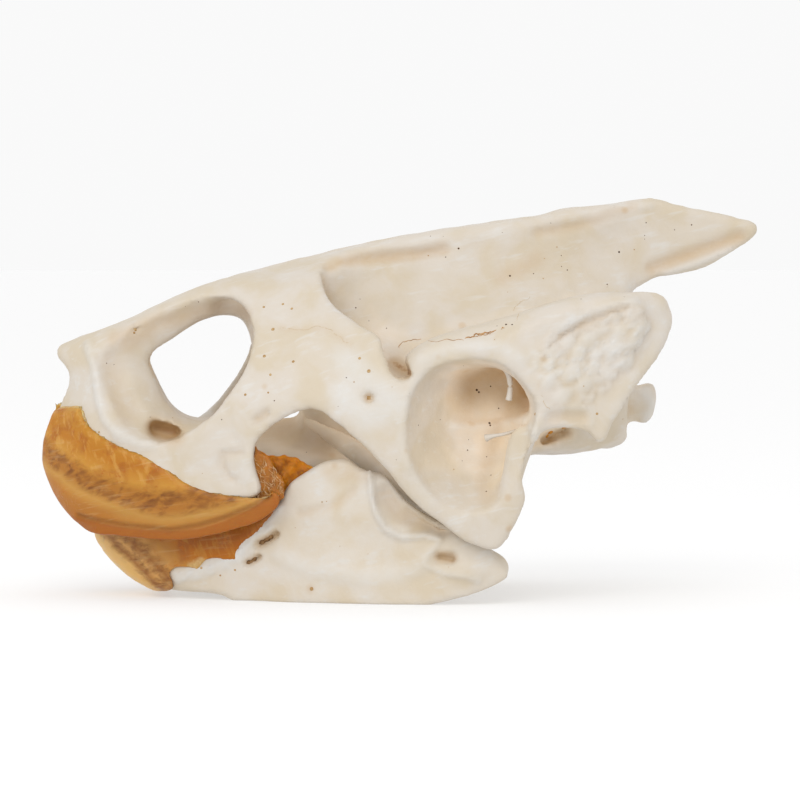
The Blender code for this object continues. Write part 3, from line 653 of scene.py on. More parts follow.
class Graph:
    """A material and the nodes that make it. Lengths in it are millimetres on the object."""

    def __init__(self, name: str) -> None:
        """Starts a material with nothing but its place on the object."""
        self.material = bpy.data.materials.new(name)
        self.material.use_nodes = True
        self.tree = self.material.node_tree
        self.tree.nodes.clear()
        metres = self.node("ShaderNodeTexCoord", out="Object")
        self.place = self.node("ShaderNodeVectorMath", {"operation": "SCALE"}, {0: metres, "Scale": 1000.0})

    def node(self, kind: str, settings: dict | None = None, sockets: dict | None = None, out: int | str = 0) -> Wire:
        """Adds one node.

        Args:
            kind: The node's type.
            settings: Its properties, set first. "stops" holds a ramp's places and colours.
            sockets: Its inputs' values or links, by name or number.
            out: The output that is given back.

        Returns:
            That output.
        """
        made = self.tree.nodes.new(kind)
        for key, value in (settings or {}).items():
            if key == "stops":
                steps = made.color_ramp.elements
                while len(steps) > 1:
                    steps.remove(steps[-1])
                for i, (at, colour) in enumerate(value):
                    step = steps[0] if i == 0 else steps.new(at)
                    step.position = at
                    step.color = colour
            else:
                setattr(made, key, value)
        for key, value in (sockets or {}).items():
            if isinstance(value, Wire):
                self.tree.links.new(value.socket, made.inputs[key])
            else:
                made.inputs[key].default_value = value
        return Wire(self, made.outputs[out])

    def attribute(self, name: str) -> Wire:
        """Reads a number that the mesh carries."""
        return self.node("ShaderNodeAttribute", {"attribute_name": name}, out="Fac")

    def axes(self) -> tuple[Wire, Wire, Wire]:
        """Gives the place's x, y and z."""
        split = self.node("ShaderNodeSeparateXYZ", sockets={0: self.place}).socket.node
        return Wire(self, split.outputs[0]), Wire(self, split.outputs[1]), Wire(self, split.outputs[2])

    def stretched(self, turn: Place, scale: Place) -> Wire:
        """Turns the place by angles in degrees and scales it, to draw a pattern out along a line."""
        angles = tuple(math.radians(a) for a in turn)
        turned = self.node("ShaderNodeVectorRotate", {"rotation_type": "EULER_XYZ"}, {0: self.place, "Rotation": angles})
        return self.node("ShaderNodeVectorMath", {"operation": "MULTIPLY"}, {0: turned, 1: scale})

    def noise(self, size: float, detail: float = 2.0, rough: float = 0.5, bend: float = 0.0,
              place: Wire | None = None) -> Wire:
        """Adds cloudy noise around 0.5.

        Args:
            size: The size of its largest clouds.
            detail: How many finer layers it has.
            rough: How strong the finer layers are.
            bend: How far it folds over itself.
            place: Where it is read, or nothing for the object's own place.

        Returns:
            The noise's value.
        """
        sockets = {"Vector": place or self.place, "Scale": 1.0 / size, "Detail": detail,
                   "Roughness": rough, "Distortion": bend}
        return self.node("ShaderNodeTexNoise", {"noise_dimensions": "3D"}, sockets)

    def cells(self, size: float, smooth: bool = False, place: Wire | None = None) -> tuple[Wire, Wire]:
        """Adds a pattern of cells.

        Args:
            size: How far apart the cells' middles are.
            smooth: Whether the cells run into one another softly.
            place: Where it is read, or nothing for the object's own place.

        Returns:
            How far each place is from its cell's middle, and a number that each cell has to itself.
        """
        settings = {"feature": "SMOOTH_F1" if smooth else "F1"}
        sockets = {"Vector": place or self.place, "Scale": 1.0 / size}
        made = self.node("ShaderNodeTexVoronoi", settings, sockets, "Distance").socket.node
        own = self.node("ShaderNodeSeparateColor", sockets={0: Wire(self, made.outputs["Color"])})
        return Wire(self, made.outputs["Distance"]), own

    def mix(self, factor: Wire | float, first: Wire | Colour, second: Wire | Colour) -> Wire:
        """Blends two colours."""
        return self.node("ShaderNodeMix", {"data_type": "RGBA"}, {0: factor, 6: first, 7: second}, 2)

    def surface(self, height: Wire, relief: float, sockets: dict) -> bpy.types.Material:
        """Closes the material with one Principled shader.

        Args:
            height: The fine relief, from 0 to 1.
            relief: How deep that relief is, in millimetres.
            sockets: The shader's values or links, by name.

        Returns:
            The material.
        """
        bump = self.node("ShaderNodeBump", sockets={"Height": height, "Distance": relief * TO_METRES, "Strength": 1.0})
        shader = self.node("ShaderNodeBsdfPrincipled", sockets={"Normal": bump, **sockets}, out="BSDF")
        self.node_out(shader)
        self.material.cycles.emission_sampling = "NONE"
        return self.material

    def node_out(self, shader: Wire) -> None:
        """Sends a shader to the material's surface."""
        end = self.tree.nodes.new("ShaderNodeOutputMaterial")
        self.tree.links.new(shader.socket, end.inputs["Surface"])


@dataclass(frozen=True)
class BoneFinish:
    """Dry bone: ivory with cream clouds, painted tan and brown shade where it is closed in, a painted glow in its
    hollows, chalky where it has dried out.

    Attributes:
        name: The material's name.
        ivory: The colour of most of it.
        cream: The colour of its warmer clouds.
        tan: The colour of its real stains, and of the painted shade in its hollows and furrows.
        deep: The colour of the painted shade in the deepest places.
        chalk: The colour of its dry white patches.
        painted_hollow_glow: The colour of a painted glow that the bone gives off in its hollows, standing for the
            light that comes through the thin bone.
        roughness: How matt it is.
    """

    name: str = "bone"
    ivory: Colour = srgb(205, 196, 184)
    cream: Colour = srgb(199, 185, 161)
    tan: Colour = srgb(190, 160, 120)
    deep: Colour = srgb(150, 104, 56)
    chalk: Colour = srgb(210, 208, 204)
    painted_hollow_glow: Colour = (0.24, 0.19, 0.135, 1.0)
    roughness: float = 0.5

    def material(self) -> bpy.types.Material:
        """Builds the bone's material."""
        g = Graph(self.name)
        hollow, tan, chalk, rough = (g.attribute(n) for n in ("hollow", "tan", "chalk", "rough"))
        clouds = g.noise(3.4, 4.0, 0.55, 0.4)
        drift = g.noise(9.0, 2.0, 0.5, 0.2)
        flecks = g.noise(0.55, 3.0, 0.6)
        fibres = g.noise(1.0, 2.0, 0.6, 0.2, g.stretched((0, 14, 0), (0.35, 2.2, 2.2)))
        colour = g.mix(clouds.between(0.4, 0.66) * 0.8, self.ivory, self.cream)
        colour = g.mix(drift.between(0.5, 0.7) * 0.35, colour, self.cream)
        dry = chalk * (0.7 + 0.6 * (flecks - 0.5)) + clouds.between(0.46, 0.3) * fibres.between(0.4, 0.65) * 0.55
        colour = g.mix(dry.least(1.0), colour, self.chalk)
        colour = g.mix(fibres.between(0.58, 0.74) * 0.35, colour, self.chalk)
        # Painted shade: tan where the bone is closed in and where tan shade is painted.
        hollow_shade = (hollow.between(0.45, 0.95) * 0.6 + tan * (0.75 + 0.7 * (flecks - 0.5))).least(1.0)
        colour = g.mix(hollow_shade, colour, self.tan)
        # Painted shade: brown in the deepest hollows and the darkest painted pits.
        colour = g.mix((hollow.between(0.85, 1.0) * 0.2 + tan.between(0.8, 1.0) * 0.75).least(1.0), colour, self.deep)
        # Painted glow: the hollows give off warm light, except where tan shade is painted.
        painted_glow_mask = hollow.between(0.12, 0.8) * (1.0 - tan.between(0.0, 0.7))
        glow = g.mix(painted_glow_mask, (0.0, 0.0, 0.0, 1.0), self.painted_hollow_glow)
        near, own = g.cells(2.3)
        stain = near.between(0.17, 0.05) * own.between(0.72, 0.76) * 0.45
        colour = g.mix(stain, colour, self.tan)
        grain, _ = g.cells(0.34, True)
        beads, _ = g.cells(0.5, True, g.stretched((0, 35, 0), (0.75, 1.0, 1.25)))
        bead = beads.between(0.62, 0.12) * rough
        colour = g.mix(bead * 0.55, colour, self.chalk)
        height = 0.3 * flecks + 0.26 * fibres + 0.75 * bead + 0.12 * grain + 0.12 * clouds
        return g.surface(height, 0.065, {
            "Base Color": colour, "Roughness": self.roughness, "Specular IOR Level": 0.35,
            "Emission Color": glow, "Emission Strength": 1.0,
        })


@dataclass(frozen=True)
class HornFinish:
    """Amber horn with bands that follow the biting edge, brown mottling in them and a thin waxy gloss.

    Attributes:
        name: The material's name.
        bands: The colours from the biting edge upwards, as (height above the edge, colour).
        mottle: The colour of the brown mottling, and of the painted shade in its grooves.
        mottled: The middle and half width, in band height, of the zone with mottling.
        glow: The colour of the orange flecks.
        pale: The colour of the yellow streaks.
        rim: The colour of the band along the biting edge.
        fade: The colour of the thin edge that runs out over the bone.
        edge: The biting band's level, the x where it is lowest, and its rise to the nose and to the cheek.
        rise: How fast the coloured bands rise to both sides of that x.
        lean: How fast they climb steadily towards the nose.
    """

    name: str
    bands: tuple[tuple[float, Colour], ...]
    mottle: Colour
    mottled: Point
    glow: Colour
    pale: Colour
    rim: Colour
    fade: Colour
    edge: tuple[float, float, float, float]
    rise: float = 0.045
    lean: float = 0.0

    def material(self) -> bpy.types.Material:
        """Builds the horn's material."""
        g = Graph(self.name)
        x, _, z = g.axes()
        level, start, front, back = self.edge
        behind = (x - start).most(0.0)
        ahead = (start - x).most(0.0)
        wander = g.noise(2.4, 2.0, 0.5) - 0.5
        up = z - level - self.rise * (ahead * ahead + behind * behind) - self.lean * ahead + 0.8 * wander
        low = self.bands[0][0]
        high = self.bands[-1][0]
        stops = [((v - low) / (high - low), c) for v, c in self.bands]
        colour = g.node("ShaderNodeValToRGB", {"stops": stops}, {0: (up - low) / (high - low)})
        long = g.stretched((0, 14, 0), (0.6, 0.9, 1.35))
        middle, half = self.mottled
        zone = up.between(middle - half, middle - 0.45 * half) * up.between(middle + half, middle + 0.45 * half)
        patches = g.noise(0.75, 3.0, 0.6, 0.5, long).between(0.42, 0.64)
        spots, own = g.cells(0.5, True, long)
        brown = (patches * (0.4 + 0.35 * own) + spots.between(0.42, 0.1) * 0.35) * zone
        colour = g.mix(brown.least(0.8), colour, self.mottle)
        cloud = g.noise(1.5, 2.0, 0.5, 0.3)
        over = up.between(middle + half * 0.4, middle + half * 1.3)
        streaks = g.noise(0.6, 3.0, 0.6, 0.5, g.stretched((0, 20, 0), (1.5, 1.0, 0.5)))
        colour = g.mix(cloud.between(0.46, 0.64) * over * 0.6, colour, self.rim)
        colour = g.mix(streaks.between(0.48, 0.68) * over * 0.45, colour, self.pale)
        fleck = g.noise(0.36, 3.0, 0.7, 0.6).between(0.5, 0.66) * cloud.between(0.44, 0.6)
        colour = g.mix(fleck * 0.7 * up.between(middle, middle + 1.2), colour, self.glow)
        layers = g.noise(0.5, 2.0, 0.5, 0.3, g.stretched((0, 10, 0), (0.14, 0.4, 1.7)))
        colour = g.mix(layers.between(0.55, 0.75) * 0.22, colour, self.fade)
        line = z - level - front * ahead * ahead - back * behind * behind
        colour = g.mix(line.between(0.02, -0.16) * (0.75 + 0.5 * (layers - 0.5)), colour, self.rim)
        thin = g.attribute("chalk")
        ragged = (thin * 1.5 + 1.1 * (g.noise(0.3, 3.0, 0.65) - 0.5) + 0.8 * (cloud - 0.5)).between(0.7, 1.6)
        colour = g.mix(ragged * thin.between(0.05, 0.4), colour, self.fade)
        # Painted shade: the tan painted in the grooves turns the horn to the mottle brown.
        colour = g.mix(g.attribute("tan"), colour, self.mottle)
        grain = g.noise(0.15, 2.0, 0.6)
        height = 0.35 * layers + 0.3 * fleck + 0.35 * grain
        return g.surface(height, 0.05, {
            "Base Color": colour, "Roughness": 0.42, "Specular IOR Level": 0.25,
            "Subsurface Weight": 0.3, "Subsurface Radius": (1.0, 0.45, 0.12), "Subsurface Scale": 0.0009,
            "Coat Weight": 0.06, "Coat Roughness": 0.25,
        })


@dataclass(frozen=True)
class FilmFinish:
    """Thin, clearer horn behind the cheek, deep amber with darker dots and pale frayed flecks.

    Attributes:
        name: The material's name.
        amber: Its colour.
        dark: The colour of its darker clouds and dots.
        pale: The colour of its frayed flecks.
        frayed: How much of it is frayed.
    """

    name: str = "amber_film"
    amber: Colour = srgb(206, 130, 8)
    dark: Colour = srgb(158, 90, 6)
    pale: Colour = srgb(206, 166, 116)
    frayed: float = 0.15

    def material(self) -> bpy.types.Material:
        """Builds the film's material."""
        g = Graph(self.name)
        colour = g.mix(g.noise(0.9, 3.0, 0.6).between(0.42, 0.7), self.amber, self.dark)
        near, own = g.cells(0.3)
        colour = g.mix(near.between(0.2, 0.1) * own.between(0.6, 0.65) * 0.6, colour, self.dark)
        frays = g.noise(0.3, 4.0, 0.7, 1.2, g.stretched((0, -60, 0), (0.5, 1.0, 1.6)))
        colour = g.mix(frays.between(0.6, 0.72) * self.frayed, colour, self.pale)
        return g.surface(frays, 0.08, {
            "Base Color": colour, "Roughness": 0.32, "Specular IOR Level": 0.3,
            "Subsurface Weight": 0.5, "Subsurface Radius": (1.0, 0.5, 0.1), "Subsurface Scale": 0.001,
        })


@dataclass(frozen=True)
class PlainFinish:
    """One colour with a faint cloud in it, for seams and the studio.

    Attributes:
        name: The material's name.
        colour: Its colour.
        cloud: A second colour that drifts through it.
        size: The clouds' size in millimetres.
        roughness: How matt it is.
        glow: How much light of its own it gives, which softens the shadows on it.
    """

    name: str
    colour: Colour
    cloud: Colour
    size: float = 1.0
    roughness: float = 0.6
    glow: float = 0.0

    def material(self) -> bpy.types.Material:
        """Builds the material."""
        g = Graph(self.name)
        clouds = g.noise(self.size, 3.0)
        colour = g.mix(clouds.between(0.35, 0.65), self.colour, self.cloud)
        return g.surface(clouds, 0.01, {
            "Base Color": colour, "Roughness": self.roughness, "Specular IOR Level": 0.2,
            "Emission Color": colour, "Emission Strength": self.glow,
        })


@dataclass
class Cranium:
    """The skull itself, one piece of bone.

    Attributes:
        voxel: The size of its skin's faces.
        wall: How thick its outer bones are.
        hollow_start: Where the space inside the outer bones begins.
        envelope: x, then (w, z) from the roof's middle down to the lower edge.
        outer_bones: The outer bones' side outline.
        snout_core: The outline of the solid part of the snout.
        socket: The eye socket's (x, z, w) rim, and the matching (x, z) near the middle plane.
        socket_inner_w: Where the eye socket's inner ring lies.
        socket_bulge: How far the socket's wall bows outwards.
        nose_tunnel: (x, z, half width, half height) through the nose.
        brain_hollow: The same from the back into the braincase.
        mouth_vault: The centre and half sizes of the hollow over the tongue.
        braincase: x, then (w, z) from the top ridge down to the base.
        crest: The side outline of the crest behind the braincase, with its half thickness.
        roof_ridge: The side outline of the ridge under the roof, with its half thickness.
        condyle: The side outline of the neck's knob, with its half thickness.
        palate: x, half width, top and bottom of the palate and pterygoids.
        ear_block: The ear region's side outline.
        ear_block_centre: The middle about which its steps are scaled.
        ear_block_steps: (w, scale) of its steps outwards.
        ear_rim: The outline of the funnel carved into the ear.
        ear_steps: w, scale and centre of each step of the funnel inwards.
        ear_pocket: The centre and half sizes of the pocket behind the funnel's rim.
        quadrate_foot: z, then x, w and half sizes of the foot down to the jaw joint.
        ear_pillar: The pillar behind the funnel, as (x, w, z) and radius.
        ear_spur: The small spur that hangs behind the pillar's top, in the same way.
        throat_edge: The edge of bone that shows between the cheek and the jaw, in the same way.
        temple_pocket: The outline of the pocket at the bottom of the temple, before the ear.
        temple_pocket_w: Its least and greatest w.
        floor_hole: The outline of the opening in the eye socket's floor, with its least and greatest w.
        cheek_hole: The centre and half sizes of the small nerve opening in the cheek.
        finish: Its bone.
    """

    voxel: float = 0.26
    coarse_voxel: float = 0.36
    wall: float = 1.0
    hollow_start: float = -14.0
    envelope: tuple = (
        (-25.05, (0, 17.0), (0.3, 16.7), (0.4, 13.4), (0.5, 10.2), (0.3, 9.7), (0.05, 9.6)),
        (-24.8, (0, 17.0), (0.5, 16.7), (0.7, 13.4), (1.7, 9.6), (1.2, 8.8), (0.05, 8.5)),
        (-24.3, (0, 17.1), (0.9, 16.8), (1.1, 13.4), (2.8, 9.2), (2.3, 7.8), (0.05, 7.2)),
        (-23.5, (0, 17.4), (1.9, 16.9), (1.9, 13.5), (3.8, 8.8), (3.3, 6.5), (0.05, 5.7)),
        (-22.5, (0, 17.9), (2.8, 17.3), (3.2, 13.5), (4.7, 8.6), (4.2, 5.6), (0.05, 4.5)),
        (-21.0, (0, 18.45), (3.5, 17.8), (4.6, 13.4), (5.7, 8.0), (5.4, 5.4), (5.0, 2)),
        (-19.0, (0, 19.2), (4.0, 18.5), (5.9, 13.5), (6.6, 8.0), (6.3, 5.4), (5.9, 2)),
        (-17.0, (0, 20.1), (4.1, 19.5), (6.9, 13.7), (7.3, 8.1), (7.0, 5.5), (6.5, 2)),
        (-15.0, (0, 20.95), (4.1, 20.4), (7.7, 14.0), (7.9, 8.2), (7.6, 5.6), (7.1, 2)),
        (-13.0, (0, 21.75), (4.2, 21.0), (8.4, 14.3), (8.5, 8.3), (8.2, 5.7), (7.7, 2)),
        (-11.0, (0, 22.4), (4.8, 21.25), (9.0, 14.5), (9.1, 8.2), (8.8, 5.6), (8.3, 2)),
        (-9.0, (0, 22.95), (5.4, 21.2), (9.7, 14.7), (9.8, 8.2), (9.5, 5.6), (9.0, 2)),
        (-7.0, (0, 23.45), (6.0, 21.4), (10.3, 15.0), (10.4, 8.6), (10.1, 6.0), (9.6, 2)),
        (-5.0, (0, 24.0), (6.6, 21.5), (10.9, 15.0), (11.1, 9.0), (10.8, 6.4), (10.3, 2)),
        (-3.0, (0, 24.4), (7.6, 21.4), (11.5, 14.9), (11.7, 8.9), (11.4, 6.3), (11.0, 2)),
        (-1.0, (0, 24.85), (8.6, 21.5), (12.0, 15.3), (12.3, 9.8), (12.0, 7.2), (11.5, 2)),
        (1.0, (0, 25.25), (9.6, 22.0), (12.5, 15.7), (12.8, 10.7), (12.4, 8.1), (11.8, 2)),
        (4.0, (0, 25.8), (10.6, 22.7), (13.0, 16.7), (13.3, 11.2), (12.8, 8.6), (12.0, 2)),
        (7.0, (0, 26.5), (11.2, 23.5), (13.2, 17.6), (13.6, 11.6), (13.0, 9.0), (12.2, 2)),
        (10.0, (0, 27.5), (11.4, 24.5), (13.0, 18.2), (13.4, 11.7), (12.9, 9.1), (12.2, 2)),
        (13.0, (0, 28.5), (11.0, 25.1), (12.1, 18.3), (12.8, 11.8), (12.5, 9.2), (12.0, 2)),
        (16.0, (0, 29.5), (10.3, 25.7), (11.0, 18.5), (11.9, 11.9), (11.7, 9.3), (11.2, 2)),
        (19.0, (0, 29.5), (9.4, 25.8), (9.9, 18.7), (10.8, 12.0), (10.7, 9.4), (10.4, 2)),
        (21.5, (0, 29.5), (8.4, 26.0), (9.0, 18.8), (9.8, 12.2), (9.8, 9.6), (9.6, 2)),
    )
    outer_bones: tuple = (
        (-24.05, 17.3), (-23.8, 19.2), (-14.0, 23.4), (-5.4, 26.0), (-4.9, 23.8), (-5.6, 22.7),
        (-5.1, 20.6), (-3.4, 19.1), (-1.9, 18.2), (-1.5, 17.1), (-1.2, 16.1), (-0.4, 15.5),
        (0.6, 15.7), (1.6, 16.7), (2.7, 17.5), (4.4, 17.9), (6.7, 18.55), (9.0, 19.5),
        (11.0, 20.25), (13.1, 20.85), (15.6, 21.2), (17.0, 21.1), (17.8, 20.4), (18.1, 19.0),
        (17.5, 17.5), (16.2, 15.6), (15.0, 14.2), (13.8, 12.3), (13.2, 11.0), (12.7, 10.95), (12.2, 11.75),
        (10.7, 12.1), (9.2, 11.9), (8.4, 11.1), (7.9, 9.9), (7.7, 8.5), (8.0, 7.4),
        (7.4, 5.7), (6.4, 4.1), (5.5, 3.8), (3.8, 4.4), (2.4, 5.5), (1.2, 6.3),
        (0.0, 7.3), (-1.2, 8.9), (-2.4, 10.2), (-3.9, 11.6), (-5.3, 12.7), (-6.2, 13.3),
        (-7.2, 13.1), (-8.3, 12.6), (-9.4, 11.8), (-10.1, 11.0), (-10.3, 9.9), (-10.1, 8.8),
        (-9.8, 7.4), (-11.6, 6.9), (-14.4, 6.2), (-17.0, 5.9), (-20.0, 5.9), (-22.1, 6.3),
        (-23.1, 7.3), (-23.9, 8.5), (-24.25, 9.9), (-24.1, 11.6), (-23.75, 13.0), (-23.3, 14.2),
        (-23.05, 15.2), (-23.1, 15.9), (-23.7, 16.4),
    )
    snout_core: tuple = (
        (-25.6, 4.0), (-9.9, 4.0), (-9.9, 10.4), (-12.5, 11.8), (-13.8, 12.5), (-14.4, 22.9), (-25.6, 19.4),
    )
    socket: tuple = (
        ((-20.6, 17.1, 4.3), (-17.1, 17.0)),
        ((-19.0, 18.5, 4.2), (-16.3, 17.6)),
        ((-16.9, 19.7, 4.2), (-15.0, 18.5)),
        ((-15.0, 20.4, 4.2), (-13.7, 19.2)),
        ((-13.0, 20.7, 4.4), (-12.4, 19.5)),
        ((-11.3, 20.4, 5.2), (-11.2, 19.4)),
        ((-10.5, 19.2, 6.3), (-10.7, 18.6)),
        ((-10.5, 17.2, 8.0), (-10.7, 17.0)),
        ((-11.5, 15.1, 8.8), (-11.5, 14.8)),
        ((-13.1, 12.9, 8.4), (-12.9, 12.4)),
        ((-15.1, 11.5, 7.7), (-14.8, 12.4)),
        ((-17.2, 10.8, 7.0), (-16.1, 13.3)),
        ((-19.3, 11.8, 6.2), (-16.8, 14.6)),
        ((-20.5, 13.5, 5.5), (-17.2, 15.5)),
        ((-21.1, 15.5, 4.7), (-17.4, 16.3)),
    )
    socket_inner_w: float = 2.9
    socket_bulge: float = 0.5
    nose_tunnel: tuple = (
        (-27.0, 14.5, 1.7, 1.7), (-23.0, 14.8, 1.8, 1.5), (-21.5, 15.3, 2.2, 1.6), (-20.0, 15.9, 2.4, 1.9),
        (-17.5, 16.4, 2.4, 2.4), (-14.0, 16.8, 2.4, 2.2),
    )
    brain_hollow: tuple = (
        (20.0, 17.6, 2.0, 1.9), (15.0, 17.2, 1.9, 1.9), (10.0, 16.4, 1.9, 2.0), (6.0, 16.0, 1.2, 1.2),
    )
    mouth_vault: tuple = ((-13.0, 0.0, 4.0), (9.6, 5.4, 4.6))
    braincase: tuple = (
        (-6.9, (0, 23.1), (2.4, 22.4), (2.3, 20.5), (2.2, 18.3), (2.4, 15.7), (2.6, 13.2), (2.4, 10.2)),
        (-5.0, (0, 24.0), (3.2, 23.1), (3.4, 21.5), (3.0, 19.3), (3.0, 17.1), (3.2, 14.1), (3.0, 10.1)),
        (-3.0, (0, 24.4), (2.1, 24.0), (2.7, 22.1), (3.2, 19.7), (3.8, 17.2), (4.0, 14.2), (3.2, 10.1)),
        (0.0, (0, 25.0), (1.6, 24.7), (2.3, 22.4), (3.3, 20.0), (4.7, 17.6), (5.0, 14.1), (3.6, 10.1)),
        (4.0, (0, 25.65), (1.4, 25.35), (1.9, 23.3), (3.0, 20.8), (5.0, 18.4), (5.7, 14.8), (4.3, 10.0)),
        (8.0, (0, 26.2), (1.3, 25.9), (1.6, 24.1), (2.4, 21.8), (4.6, 19.4), (5.8, 15.8), (4.4, 10.3)),
        (11.0, (0, 26.65), (1.1, 26.4), (1.2, 24.8), (1.7, 22.5), (3.4, 20.1), (5.2, 16.4), (4.0, 10.3)),
        (14.0, (0, 27.1), (0.9, 26.9), (0.8, 25.2), (1.0, 22.9), (2.4, 19.8), (4.2, 16.2), (3.0, 10.6)),
        (15.8, (0, 27.35), (0.8, 27.15), (0.6, 25.3), (0.7, 23.0), (1.6, 19.7), (3.2, 16.1), (2.0, 11.2)),
    )
    crest: tuple = (
        (9.0, 26.1), (14.0, 27.05), (16.5, 27.5), (18.1, 27.55), (19.3, 27.15), (22.2, 26.6), (24.0, 26.15),
        (24.9, 25.9), (25.25, 25.35), (24.7, 24.8), (24.1, 24.35), (22.2, 23.15), (20.2, 22.4), (18.0, 22.1),
        (17.1, 21.6), (16.2, 21.0), (15.4, 19.8), (13.0, 19.0), (9.0, 20.5),
    )
    crest_half: float = 0.55
    roof_ridge: tuple = (
        (-15.0, 18.6), (-13.7, 19.2), (-12.4, 19.5), (-11.2, 19.4), (-10.6, 18.6), (-10.2, 16.6),
        (-8.6, 14.6), (-6.2, 13.4), (-6.0, 22.4), (-15.0, 20.2),
    )
    roof_ridge_half: float = 2.4
    condyle: tuple = (
        (13.5, 15.0), (15.8, 14.6), (16.6, 14.4), (17.35, 14.75), (17.85, 14.6), (17.95, 13.4), (17.65, 12.25),
        (17.15, 11.8), (16.75, 11.8), (16.3, 12.2), (15.8, 12.1), (15.7, 11.45), (15.95, 11.05), (15.8, 10.55),
        (15.4, 10.35), (13.5, 10.25),
    )
    condyle_half: float = 1.4
    palate: tuple = (
        (-15.0, 6.0, 10.6, 8.4),
        (-12.0, 6.4, 11.2, 8.3),
        (-10.0, 6.0, 12.0, 8.3),
        (-8.0, 5.4, 12.3, 8.4),
        (-6.0, 4.8, 12.6, 8.6),
        (-3.0, 3.6, 12.2, 8.8),
        (1.0, 3.6, 12.0, 9.0),
        (5.0, 5.0, 12.0, 9.2),
        (9.0, 5.2, 12.0, 9.8),
        (12.5, 3.6, 12.2, 10.2),
        (15.4, 2.6, 12.4, 10.6),
    )
    ear_block: tuple = (
        (-0.4, 12.0), (-0.3, 15.0), (1.0, 16.8), (3.0, 17.8), (6.0, 18.5), (9.0, 19.5), (12.0, 20.3),
        (15.4, 20.7), (17.2, 20.0), (17.0, 18.0), (15.4, 15.2), (13.2, 12.3), (9.6, 11.3), (7.6, 9.6),
        (6.6, 7.0), (3.4, 6.2), (0.8, 8.0), (-0.3, 10.0),
    )
    ear_block_centre: Point = (6.9, 15.0)
    ear_block_steps: tuple = ((3.0, 0.66), (6.0, 0.82), (9.0, 0.97), (11.0, 0.98), (12.4, 0.9))
    ear_rim: tuple = (
        (-0.7, 13.4), (-0.4, 15.2), (0.9, 16.5), (2.6, 17.1), (4.4, 17.2), (5.8, 17.0), (7.0, 16.3),
        (7.9, 15.4), (8.6, 14.1), (8.6, 12.9), (8.0, 11.0), (7.6, 9.4), (6.9, 7.6), (5.4, 6.3),
        (3.4, 5.9), (1.7, 6.5), (0.2, 7.9), (-0.5, 9.8), (-0.7, 11.6),
    )
    ear_steps: tuple = (
        (17.0, 1.04, 4.0, 11.8),
        (13.2, 0.99, 4.0, 11.8),
        (11.8, 0.84, 4.4, 12.1),
        (10.4, 0.68, 4.9, 12.6),
        (9.0, 0.50, 5.5, 13.3),
        (7.8, 0.30, 6.0, 14.0),
    )
    ear_pocket: tuple = ((8.3, 9.9, 15.2), (3.3, 1.9, 2.2))
    quadrate_foot: tuple = (
        (11.5, 4.6, 8.8, 4.4, 3.8),
        (9.0, 4.4, 9.2, 3.7, 3.4),
        (7.0, 5.0, 9.6, 2.6, 2.9),
        (5.4, 5.4, 9.8, 1.8, 2.7),
        (4.2, 5.6, 9.8, 1.3, 2.4),
    )
    ear_pillar: tuple = (
        ((7.9, 12.3, 12.0), 0.42),
        ((7.35, 12.2, 11.3), 0.55),
        ((7.1, 12.1, 9.9), 0.62),
        ((7.0, 12.0, 8.6), 0.75),
        ((6.8, 11.9, 7.2), 0.85),
        ((6.4, 11.6, 5.9), 0.85),
    )
    ear_spur: tuple = (((8.9, 12.6, 13.0), 0.5), ((8.6, 12.7, 12.0), 0.36), ((8.5, 12.7, 11.1), 0.16))
    throat_edge: tuple = (
        ((-6.8, 4.0, 12.3), 0.3), ((-4.8, 4.9, 11.1), 0.6), ((-2.8, 5.9, 9.9), 0.8), ((-1.2, 6.5, 8.7), 0.85), ((0.6, 6.9, 7.5), 0.9),
        ((3.0, 7.3, 6.0), 0.9),
    )
    temple_pocket: tuple = (
        (-1.3, 17.5), (-1.3, 16.0), (-0.9, 15.45), (-0.3, 15.25), (0.45, 15.4), (0.2, 15.8), (-0.1, 16.5),
        (-0.3, 17.5),
    )
    temple_pocket_w: Point = (7.0, 13.0)
    floor_hole: tuple = ((-17.7, 12.1), (-16.5, 12.2), (-14.9, 11.35), (-15.7, 11.0), (-17.2, 10.95))
    floor_hole_w: Point = (3.2, 8.2)
    cheek_hole: tuple = ((-2.6, 11.9, 14.1), (0.42, 1.3, 0.34))
    finish: BoneFinish = BoneFinish()

    def hollow_rings(self) -> list[Ring]:
        """Makes the rings of the space inside the outer bones, from behind the eyes to beyond the back."""
        rings = []
        for x, *half in self.envelope:
            if x < self.hollow_start:
                continue
            line = spline(half, 6, closed=False)
            moved = []
            for i, (w, z) in enumerate(line):
                along = line[min(i + 1, len(line) - 1)] - line[max(i - 1, 0)]
                along = along / np.linalg.norm(along)
                moved.append((max(w + self.wall * along[1], 0.0), z - self.wall * along[0]))
            moved[0] = (0.0, line[0][1] - self.wall)
            moved[-1] = (moved[-1][0], -2.0)
            left = [(x, -w, z) for w, z in moved]
            right = [(x, w, z) for w, z in reversed(moved) if w > 0]
            rings.append(left + right)
        return rings + [[(x + 4.0, y, z) for x, y, z in rings[-1]]]

    def socket_cutter(self) -> Body:
        """Makes the space of the left eye socket."""
        rim = spline([r for r, _ in self.socket], 3)
        inner = spline([i for _, i in self.socket], 3)
        centre = np.mean([i for _, i in self.socket], axis=0)
        rings = [[], [], [], [], []]
        for (x, z, w), (u, v) in zip(rim, inner):
            out = np.array((x, z)) - centre
            out = out / np.linalg.norm(out)
            middle = 0.5 * (np.array((x, z)) + np.array((u, v))) + self.socket_bulge * out
            rings[0].append((x + 0.6 * out[0], -(w + 8), z + 0.6 * out[1]))
            rings[1].append((x, -w, z))
            rings[2].append((middle[0], -0.5 * (w + self.socket_inner_w), middle[1]))
            rings[3].append((u, -self.socket_inner_w, v))
            rings[4].append((u + 0.15 * out[0], 0.4, v + 0.15 * out[1]))
        return Body.loft("socket", rings)

